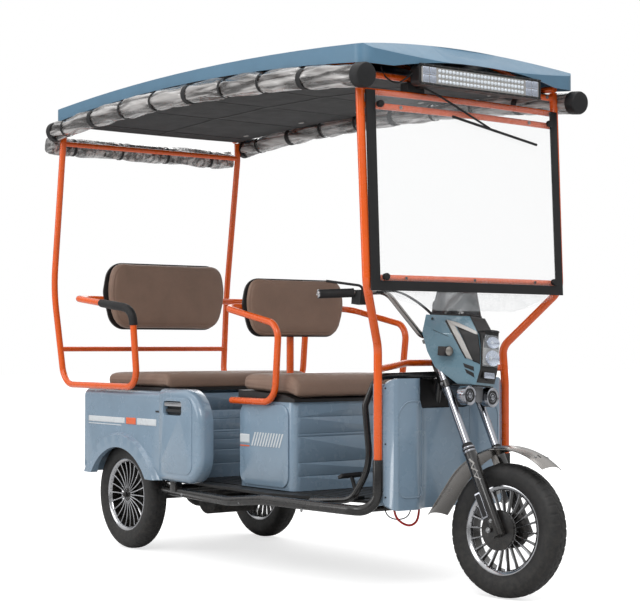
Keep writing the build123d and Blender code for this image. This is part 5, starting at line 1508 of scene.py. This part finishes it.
FAIRING_PANELS = (
    FairingPanel(
        "fairing_window", PLASTIC_BLACK, "black_plastic", 1.2, 1.6,
        ((972, -77, 1000), (1010, -68, 936), (1046, -62, 868)),
        ((1062, -49, 974), (1071, -52, 915), (1074, -53, 858)),
    ),
    FairingPanel(
        "fairing_arm_upper", SILVER, "polished_rim", 2.0, 2.6,
        ((931, -89, 1025), (974, -71, 1016), (1052, -48, 984)),
        ((946, -85, 1010), (976, -76, 1000), (1054, -50, 970)),
    ),
    FairingPanel(
        "fairing_arm_lower", SILVER, "polished_rim", 2.0, 2.6,
        ((931, -89, 1025), (978, -80, 950), (1023, -71, 878)),
        ((965, -79, 1004), (1008, -69, 938), (1046, -62, 871)),
    ),
    FairingPanel(
        "fairing_arm_seam", PLASTIC_BLACK, "black_plastic", 0.9, 1.2,
        ((925, -91, 1020), (972, -82, 948), (1017, -72, 877)),
        ((931, -89, 1024), (978, -80, 950), (1022, -71, 878)),
    ),
    FairingPanel(
        "fairing_vent_upper", PLASTIC_BLACK, "black_plastic", 0.6, 1.0,
        ((1011, -76, 859), (1051, -61, 847)),
        ((1017, -74, 844), (1052, -60, 830)),
    ),
    FairingPanel(
        "fairing_vent_lower", PLASTIC_BLACK, "black_plastic", 0.6, 1.0,
        ((1018, -73, 837), (1051, -60, 823)),
        ((1025, -69, 821), (1054, -58, 806)),
    ),
    # A thin black strip along a fold in the fairing: painted shade in the crease.
    FairingPanel(
        "fairing_crease_painted_shade", PLASTIC_BLACK, "black_plastic", 0.4, 0.5,
        ((889, -119, 985), (950, -98, 960)),
        ((890, -119, 983), (951, -98, 958)),
    ),
)


@dataclass
class FairingDress:
    """What the blue fairing carries: side panels, nose and chin, fly screen, lamps and horns."""

    steering: Steering
    beam_x: float = 1080.0
    low_beam: float = 884.0
    high_beam: float = 943.0

    def build(self) -> None:
        """Makes the side panels, the front, the fly screen, the lamps and the horns."""
        for panel in FAIRING_PANELS:
            panel.lay(self.steering)
        self.front()
        self.fly_screen()
        self.lamps()
        self.horns()

    def front(self) -> None:
        """Makes the dark nose above the lamp, the chin round the low lamp, and the screws."""
        s = self.steering
        nose = [(1006, -46, 1038), (1040, -47, 1012), (1066, -46, 988)]
        nose = ruled(nose, [(x, -y, z) for x, y, z in nose], 14, 12)
        wrapped(
            s.put("fairing_nose", nose.moved(9, 0, 7), PLASTIC_BLACK, "black_plastic", False),
            "fairing", 1.6, 2.4,
        )
        hood_path = smooth(
            [(1060, -48, 984), (1082, -30, 987), (1087, 0, 988), (1082, 30, 987), (1060, 48, 984)], 30,
        )
        s.put(
            "lamp_hood", sweep(hood_path, oblong(9, 3, 2.5), (0, 0, 1)), PLASTIC_BLACK, "black_plastic",
        )
        chin = [(1075, -52, 858), (1075, -54, 826), (1064, -54, 786)]
        chin = ruled(chin, [(x, -y, z) for x, y, z in chin], 14, 12)
        wrapped(
            s.put("fairing_chin", chin.moved(12, 0, 0), PLASTIC_BLACK, "black_plastic", False),
            "fairing", 1.2, 2.0,
        )
        heads = [
            screw(3.5, 3, 12).placed(axes_along((0.1, side, 0.1)), (884, side * 120.5, 1024))
            for side in BOTH_SIDES
        ]
        s.put("fairing_screws", gathered(heads), PLASTIC_BLACK, "black_plastic")

    def fly_screen(self) -> None:
        """Makes the smoked screen: the straight-line surface from a wide base curve to a narrower top."""
        s = self.steering
        base = [(866, -112, 1030), (930, -84, 1030), (996, -44, 1030), (1004, 0, 1030)]
        top = [(876, -92, 1136), (918, -74, 1138), (968, -40, 1139), (976, 0, 1139)]
        base, top = (
            smooth(half + [(x, -y, z) for x, y, z in half[-2::-1]], 60)
            for half in (base, top)
        )
        sheets = (
            ("fly_screen", 0.0, 1.0, 0.0, SMOKED, "smoked_screen"),
            ("fly_screen_foot", -0.06, 0.16, 2.4, PLASTIC_BLACK, "black_plastic"),
        )
        for name, low, high, lift, finish, slot in sheets:
            share = np.linspace(low, high, 12)[None, :, None]
            points = base[:, None] * (1 - share) + top[:, None] * share + np.array((lift, 0, 0))
            made = s.put(name, grid(points), finish, slot, False, 180)
            thickened(made, 2.0)
            if not lift:
                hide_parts("fairing_screen")

    def lamps(self) -> None:
        """Makes the headlamp's bowls behind a bowed clear lens, the low lamp and the turn lamps."""
        s = self.steering
        out = axes_along((1, 0, 0.02), (0, 0, 1))
        frame_line = rounded([(-50, -60), (50, -60), (54, 10), (47, 62), (-47, 62), (-54, 10)], 12)
        surround = slab(frame_line, 5, 3).placed(out, (1074, 0, 911))
        s.put("headlamp_surround", surround, PLASTIC_BLACK, "black_plastic")
        bowl = lathe(
            [(4, 0), (14, 2), (24, 7), (31, 15), (33, 16), (33, 13), (24, 4), (12, -2), (4, -3)], 40,
            True,
        )
        low, high = (self.beam_x, 0, self.low_beam), (self.beam_x, 0, self.high_beam)
        cups = [
            Shape(bowl.points * factors, bowl.quads, bowl.tris).placed(out, spot)
            for factors, spot in (((1.25, 0.9, 0.8), low), ((1.15, 0.66, 0.7), high))
        ]
        s.put("headlamp_reflectors", gathered(cups), REFLECTOR, "lamp_lens")
        mask = slab(frame_line * 0.9, 1.6, 0.8).placed(out, (1078.6, 0, 911))
        s.put("headlamp_mask", mask, SILVER, "lamp_lens")
        bulb = lathe([(0, 0), (6, 0), (6, 5), (4.5, 7.5), (0, 8.5)], 24)
        bulbs = gathered([bulb.placed(out, spot) for spot in (low, high)])
        s.put("headlamp_bulbs", bulbs, LED, "lamp_lens")
        u, v = np.meshgrid(np.linspace(-1, 1, 26), np.linspace(-1, 1, 30), indexing="ij")
        wide = 49 - 3 * v - 3 * v**2
        lens = np.stack(
            [1085 + 15 * (1 - u**2) * (1 - 0.35 * v**2) - 3 * v**2, u * wide, 911 + v * 60], -1,
        )
        glass = s.put("headlamp_lens", grid(lens), LENS, "lamp_lens", False, 180)
        thickened(glass, 1.5)
        housing = slab(oblong(35, 15, 5), 5, 2).placed(out, (1075, 0, 818))
        s.put("low_lamp_frame", housing, PLASTIC_BLACK, "black_plastic")
        inner = slab(oblong(31, 11, 4), 2.5, 1.2).placed(out, (1079.5, 0, 818))
        s.put("low_lamp_lens", inner, REFLECTOR, "lamp_lens")
        turn_out = [axes_along((1, side * 0.25, 0), (0, 0, 1)) for side in BOTH_SIDES]
        cup = lathe([(0, 0), (17, 0), (18, 3), (17, 9), (12, 12), (0, 13.5)], 32)
        rim = lathe([(16.5, 0), (19.4, 0), (19.8, 7), (18.6, 9), (17.4, 9), (16.8, 4)], 32, True)
        spots = [(972, side * 123, 900) for side in BOTH_SIDES]
        s.put(
            "turn_lamp_lenses", gathered([cup.placed(a, p) for a, p in zip(turn_out, spots)]),
            TURN_LENS, "lamp_lens",
        )
        s.put(
            "turn_lamp_rims", gathered([rim.placed(a, p) for a, p in zip(turn_out, spots)]),
            PLASTIC_BLACK, "black_plastic",
        )

    def horns(self) -> None:
        """Makes each horn's bright bell, dark ring and bright centre, and the blank plate."""
        s = self.steering
        out = axes_along((1, 0, 0), (0, 0, 1))
        bell = lathe([(36.8, 0), (38.2, 2), (37.6, 6), (33, 8.5), (27, 5), (26, 2), (28, 0)], 56, True)
        dark = lathe([(0, 1), (27.5, 1), (26.5, 3.5), (20, 2.5), (0, 2.4)], 48)
        ridge = lathe([(16, 2), (18.4, 2), (18.4, 4.4), (17.2, 5.4), (16, 4.4)], 48, True)
        hub = lathe([(0, 2), (11.5, 2), (11, 6), (8, 8), (4.2, 8.4), (4, 6.4), (0, 6.2)], 40)
        spots = [(1043, side * 70, 738.4) for side in BOTH_SIDES]
        parts = (
            ("bells", bell + ridge, CHROME, "fork_chrome"),
            ("rings", dark, PLASTIC_BLACK, "black_plastic"),
            ("centres", hub, CHROME, "fork_chrome"),
        )
        for name, shape, finish, slot in parts:
            s.put("horn_" + name, gathered([shape.placed(out, p) for p in spots]), finish, slot)
        plate = slab(oblong(29, 28, 4), 3, 0.8).placed(out, (1028.4, 0, 745))
        s.put("blank_front_plate", plate, PLATE_GREY, "stainless")
        ends = [(1031.5, y, z) for y in (-24, 24) for z in (722, 768)]
        s.put("blank_plate_screws", screws_at(ends, (1, 0, 0), 2.2, 2, 12), STEEL, "stainless")


@dataclass
class BarDress:
    """Grips with ribs and end caps, switch faces, and cables from the handlebar into the fairing."""

    steering: Steering

    def build(self) -> None:
        """Makes the grips' ribbed sleeves, their caps, the switch buttons and the cables."""
        s = self.steering
        sleeves, caps, buttons, cables = [], [], [], []
        for side in BOTH_SIDES:
            end, start = np.array((541, side * 400, 1094.0)), np.array((641, side * 265, 1113.0))
            way = (end - start) / np.linalg.norm(end - start)
            length = float(np.linalg.norm(end - start))
            share = np.linspace(0.18, 0.985, 130)
            line = start[None] + share[:, None] * (end - start)[None]
            ribs = 0.035 * np.sin(share * length / 5.2 * 2 * np.pi) ** 8
            size = 1 + ribs + 0.05 * np.exp(-(((share - 0.2) / 0.02) ** 2))
            sleeves.append(sweep(line, circle(17.2, 30), (0, 0, 1), size))
            cap = lathe(
                [(0, -2), (15.5, -2), (17.8, 0), (17.8, 5), (15, 8), (7, 8.6), (5, 7), (0, 7)], 32,
            )
            caps.append(cap.placed(axes_along(way), end - way * 3))
            pill = slab(oblong(7, 4, 3), 4, 1.5)
            for z in (1104, 1092, 1080):
                buttons.append(pill.placed(axes_along((-1, 0, 0), (0, 0, 1)), (617, side * 273, z)))
            for shift in (0, 9):
                route = (
                    (668, 196, 1122), (730, 150, 1126), (800, 112, 1090), (868, 84, 1034),
                    (900, 60, 990),
                )
                route = [(x, side * (y + shift), z) for x, y, z in route]
                cables.append(sweep(smooth(route, 60), circle(3.6, 12), (0, 1, 0.2)))
        s.put("grip_sleeves", gathered(sleeves), SOFT_BLACK, "soft_black")
        s.put("grip_caps", gathered(caps), POLISHED, "polished_rim")
        s.put("switch_buttons", gathered(buttons), SILVER, "black_plastic")
        s.put("bar_cables", gathered(cables), SOFT_BLACK, "soft_black")
        nut = lathe([(0, 0), (16, 0), (16, 8), (12, 11), (0, 11)], 6)
        s.put("stem_nut", nut.placed(s.frame(), s.at(0, 0, 766)), CHROME, "fork_chrome", crease=25)
        spots = [s.at(ahead, side * 60, 765) for ahead in (40, 70) for side in BOTH_SIDES]
        heads = [screw(4.5, 4).placed(s.frame(), spot) for spot in spots]
        s.put("clamp_screws", gathered(heads), STEEL, "stainless")


# Screen and light bar

@dataclass
class ScreenDress:
    """The light bar's optics and screws, the screen's knobs and clear flap, and the bars' bolts."""

    bar_x: float = 1078.0
    low: float = 1890.0
    high: float = 1967.0

    def build(self) -> None:
        """Makes what the light bar carries, the screen's knobs, the flap and the bolts."""
        out = axes_along((1, 0, 0), (0, 0, 1))
        dome = lathe([(7.4, 0), (7.0, 2.6), (5.0, 5.2), (2.6, 6.4), (0, 6.8)], 12)
        y = np.linspace(-212, 212, 25)
        spots = [(self.bar_x - 0.5, float(v), z) for v in y for z in (1909.0, 1928.5, 1948.0)]
        add_piece(
            "bar_domes", copies(dome.placed(out, (0, 0, 0)), spots), LED, closed=False,
        )
        tile = slab(oblong(15, 14, 4), 4.5, 2)
        tiles = [
            (self.bar_x - 0.5, side * v, z)
            for side in BOTH_SIDES
            for v in (245, 279)
            for z in (1913.0, 1944.0)
        ]
        add_piece(
            "bar_square_optics", copies(tile.placed(out, (0, 0, 0)), tiles), REFLECTOR,
        )
        backing = slab(oblong(300, 31, 6), 1.5, 0.6).placed(out, (self.bar_x - 1.2, 0, 1928.5))
        add_piece("bar_backing", backing, SILVER)
        lips = []
        for z in (self.low + 3, self.high - 3):
            path = np.stack(
                [np.full(30, self.bar_x + 1.2), np.linspace(-309, 309, 30), np.full(30, z)], -1,
            )
            lips.append(sweep(path, oblong(4.5, 3.4, 1.5, 3)))
        add_piece("bar_lips", gathered(lips), PLASTIC_BLACK)
        ends = [
            (self.bar_x + 4.2, float(v), z)
            for v in np.linspace(-290, 290, 15)
            for z in (self.low + 3, self.high - 3)
        ]
        add_piece("bar_screws", screws_at(ends, (1, 0, 0), 1.9, 1.6, 8), STEEL)
        cooling = [(1036, -299 + 26 * k, self.high + 1.2) for k in range(24)]
        fin = slab(oblong(1.2, 16, 0.5, 3), 4, 0.5)
        add_piece(
            "bar_fins", copies(fin.placed(axes_along((0, 0, 1), (1, 0, 0)), (14, 0, -2)), cooling),
            PLASTIC_BLACK,
        )
        cable = smooth(
            [
                (1040, -311, 1935), (1024, -330, 1915), (1004, -352, 1900), (986, -372, 1908),
                (972, -392, 1930), (966, -400, 1958),
            ],
            50,
        )
        add_piece("bar_cable", sweep(cable, circle(3.2, 12), (0, 0, 1)), SOFT_BLACK)
        knob = lathe([(0, 0), (11, 0), (13.4, 2), (13.4, 9), (11, 13), (0, 14.5)], 24)
        spots = [
            (self.glass(side * y, z) + 7, side * y, z)
            for side in BOTH_SIDES
            for y, z in ((435, 1815), (430, 1181))
        ]
        add_piece("screen_knobs", copies(knob.placed(out, (0, 0, 0)), spots), SOFT_BLACK)
        self.flap()
        self.hoop_bolts()

    def glass(self, y: float, z: float) -> float:
        """The screen's x: 1018, less 0.04354 for each millimetre above 1131, plus a bow of 25."""
        return 1018 - 0.04354 * (z - 1131) + 25 * (1 - (y / 487) ** 2)

    def flap(self) -> None:
        """Makes the clear flap below the edging: its half width falls from 440 to 200 along a curve."""
        u, v = np.meshgrid(np.linspace(-1, 1, 60), np.linspace(0, 1, 12), indexing="ij")
        half = 440 - 240 * v**1.6
        y, z = u * half, 1128 - 66 * v
        x = self.glass(y, z) - 1.6 + 1.2 * np.sin(y / 47)
        flap = add_piece(
            "screen_flap", grid(np.stack([x, y, z], -1)), CLEAR_FLAP, crease=180,
            closed=False,
        )
        thickened(flap, 0.8)

    def hoop_bolts(self) -> None:
        """Puts bolts on the orange bars: the straight one under the roof, and the bowed ones."""
        spots = [(974.5, y, 1927) for y in (-452, -250, 250, 452)]
        spots += [(self.glass(y, 1811) - 6, y, 1811) for y in (-330, 330)]
        add_piece("hoop_bolts", screws_at(spots, (1, 0, 0), 5, 4), STEEL)
        low = [(self.glass(y, 1178) - 3, y, 1178) for y in (-330, 0, 330)]
        add_piece("screen_bolts", screws_at(low, (1, 0, 0), 4, 3.4), PLASTIC_BLACK)


# Body details

@dataclass
class BodyDress:
    """Stripes, handles, hinges, beads and screws on the blue body, and the cover behind its notch."""

    quarter_y: float = 455.0
    box_y: float = 320.0
    door_x: float = -392.5
    notch: float = 139.0

    def stripe(
        self, name: str, corners: Sequence[tuple[float, float]], y: float, finish: Finish, node: str,
    ) -> None:
        """Lays thin stripes on a side panel, one each side.

        Args:
            name: the piece's name.
            corners: four corners as x and z pairs.
            y: the panel's distance from the middle plane.
            finish: the stripe's finish.
            node: the CAD node it lies on.
        """
        a, b, c, d = [(x, -y, z) for x, z in corners]
        self.lay(name, ruled([a, b], [d, c], 24, 6), finish, node)

    def lay(
        self, name: str, shape: Shape, finish: Finish, node: str, lift: float = 0.5, wall: float = 0.5,
    ) -> None:
        """Lays an open patch on a CAD node's right side, and its mirror image on the left."""
        for side, word in ((shape, "right"), (shape.mirrored(), "left")):
            made = add_piece(f"{name}_{word}", side, finish, closed=False)
            wrapped(made, node, lift, wall)

    def build(self) -> None:
        """Makes the stripes and hatching, the handles, the beads, the cover, the hinges and the bolts."""
        quarter, box = (self.quarter_y, "rear_quarters"), (self.box_y, "driver_box")
        for name, left, right, low, high, finish, (y, node) in (
            ("quarter_stripe", -1150, -812, 577, 603, DECAL_PALE, quarter),
            ("quarter_stripe_fine", -1150, -842, 566, 570, DECAL_PALE, quarter),
            ("quarter_block", -800, -714, 575, 605, DECAL_ORANGE, quarter),
            ("quarter_block_pale", -704, -536, 575, 605, DECAL_PALE, quarter),
            ("box_block", -88, -6, 522, 560, DECAL_PALE, box),
            ("box_line", -88, -6, 508, 513, DECAL_ORANGE, box),
        ):
            corners = [(left, low), (right, low), (right, high), (left, high)]
            self.stripe(name, corners, y, finish, node)
        bar = ruled(
            [(6, -self.box_y, 512), (16, -self.box_y, 512)],
            [(32, -self.box_y, 570), (42, -self.box_y, 570)], 6, 24,
        )
        hatch = copies(bar, [(19.5 * k, 0, 0) for k in range(11)])
        self.lay("box_hatch", hatch, DECAL_PALE, "driver_box")
        self.handles()
        self.shield_panels()
        self.column_cover()
        self.fasteners()

    def handles(self) -> None:
        """Makes each door pull: a dark tray in the recess, a bright lip above and a bar across."""
        trays, lips, bars = [], [], []
        for side in BOTH_SIDES:
            out = np.array([(1, 0, 0), (0, 0, 1), (0, side, 0)], float)
            trays.append(slab(oblong(73, 29, 12), 3, 1).placed(out, (self.door_x, side * 437, 659)))
            lip = slab(rounded([(-70, -9), (70, -9), (74, 9), (-70, 9)], 6), 12, 3)
            lips.append(lip.placed(out, (self.door_x, side * 448, 676)))
            bars.append(slab(oblong(66, 7, 6), 10, 4).placed(out, (self.door_x, side * 446, 648)))
        add_piece("door_trays", gathered(trays), PLASTIC_BLACK)
        add_piece("door_lips", gathered(lips), POLISHED)
        add_piece("door_bars", gathered(bars), PLASTIC_BLACK)

    def shield_panels(self) -> None:
        """Marks two rounded panels on the leg shield's front, each by a flat bead along its outline."""
        outline = denser(rounded([(0, 0), (150, 0), (150, 330), (110, 372), (0, 372)], 42, 8), 12)
        middle = outline.mean(0)
        inner = middle + (outline - middle) * 0.96
        loops = [
            np.stack([np.full(len(loop), 896.0), -108 - loop[:, 0], 352 + loop[:, 1]], -1)
            for loop in (outline, inner)
        ]
        bead = grid(np.stack(loops, 1), wrap_u=True)
        self.lay("shield_bead", bead, BODY_BLUE, "leg_shield", 0.9, 1.8)

    def column_cover(self) -> None:
        """Closes the notch behind the steering column with a black panel that leans back as it rises."""
        y = np.linspace(-self.notch, self.notch, 24)[:, None]
        rise = np.linspace(0, 1, 12)[None, :]
        lean = 842 - 27 * rise - 6 * np.cos(y / self.notch * np.pi)
        points = np.stack([lean, y + 0 * rise, 688 + 120 * rise + 0 * y], -1)
        cover = add_piece(
            "column_cover", grid(points), PLASTIC_BLACK, crease=180, closed=False,
        )
        thickened(cover, 2.5)

    def fasteners(self) -> None:
        """Makes the doors' hinge marks, and the bolts of frame, shield and plate mount."""
        pill = slab(oblong(9, 4, 3.5), 3, 1)
        hinges, bolts = [], []
        for x in (-532, -518):
            for side in BOTH_SIDES:
                out = np.array([(1, 0, 0), (0, 0, 1), (0, side, 0)], float)
                hinges.append(pill.placed(out, (x, side * 454, 640)))
        add_piece("door_hinges", gathered(hinges), PLASTIC_BLACK)
        for side in BOTH_SIDES:
            for x, y in ((-300, 470), (120, 458), (520, 437)):
                bolts.append(screw(5, 4).placed(axes_along((0, side, 0)), (x, side * y, 292)))
        add_piece("frame_bolts", gathered(bolts), STEEL)
        shield = [(864, side * 296, z) for side in BOTH_SIDES for z in (360, 560, 770)]
        add_piece(
            "shield_screws", screws_at(shield, (0.86, 0, 0), 4, 3, 12), PLASTIC_BLACK,
        )
        plate = [(-1199.6, y, z) for y in (-90, 90) for z in (405, 475)]
        add_piece("plate_screws", screws_at(plate, (-1, 0, 0), 4.2, 2.5, 6), STEEL)


def main() -> None:
    """Builds the camera and leads first, then each sub-assembly."""
    logging.basicConfig(level=logging.INFO, format="%(name)s %(message)s")
    scene = bpy.context.scene
    scene.view_settings.view_transform = "Standard"
    studio = Studio()
    studio.camera()
    for lead in LEADS:
        lead.build()
    studio.floor()
    studio.lights()
    CadShells().dress()
    for wheel in WHEELS:
        wheel.build()
    for pad in PADS:
        pad.build()
    ArmFoam().build()
    Canopy().build()
    steering = Steering()
    ForkDress(steering).build()
    FairingDress(steering).build()
    BarDress(steering).build()
    ScreenDress().build()
    BodyDress().build()


if __name__ == "__main__":
    main()
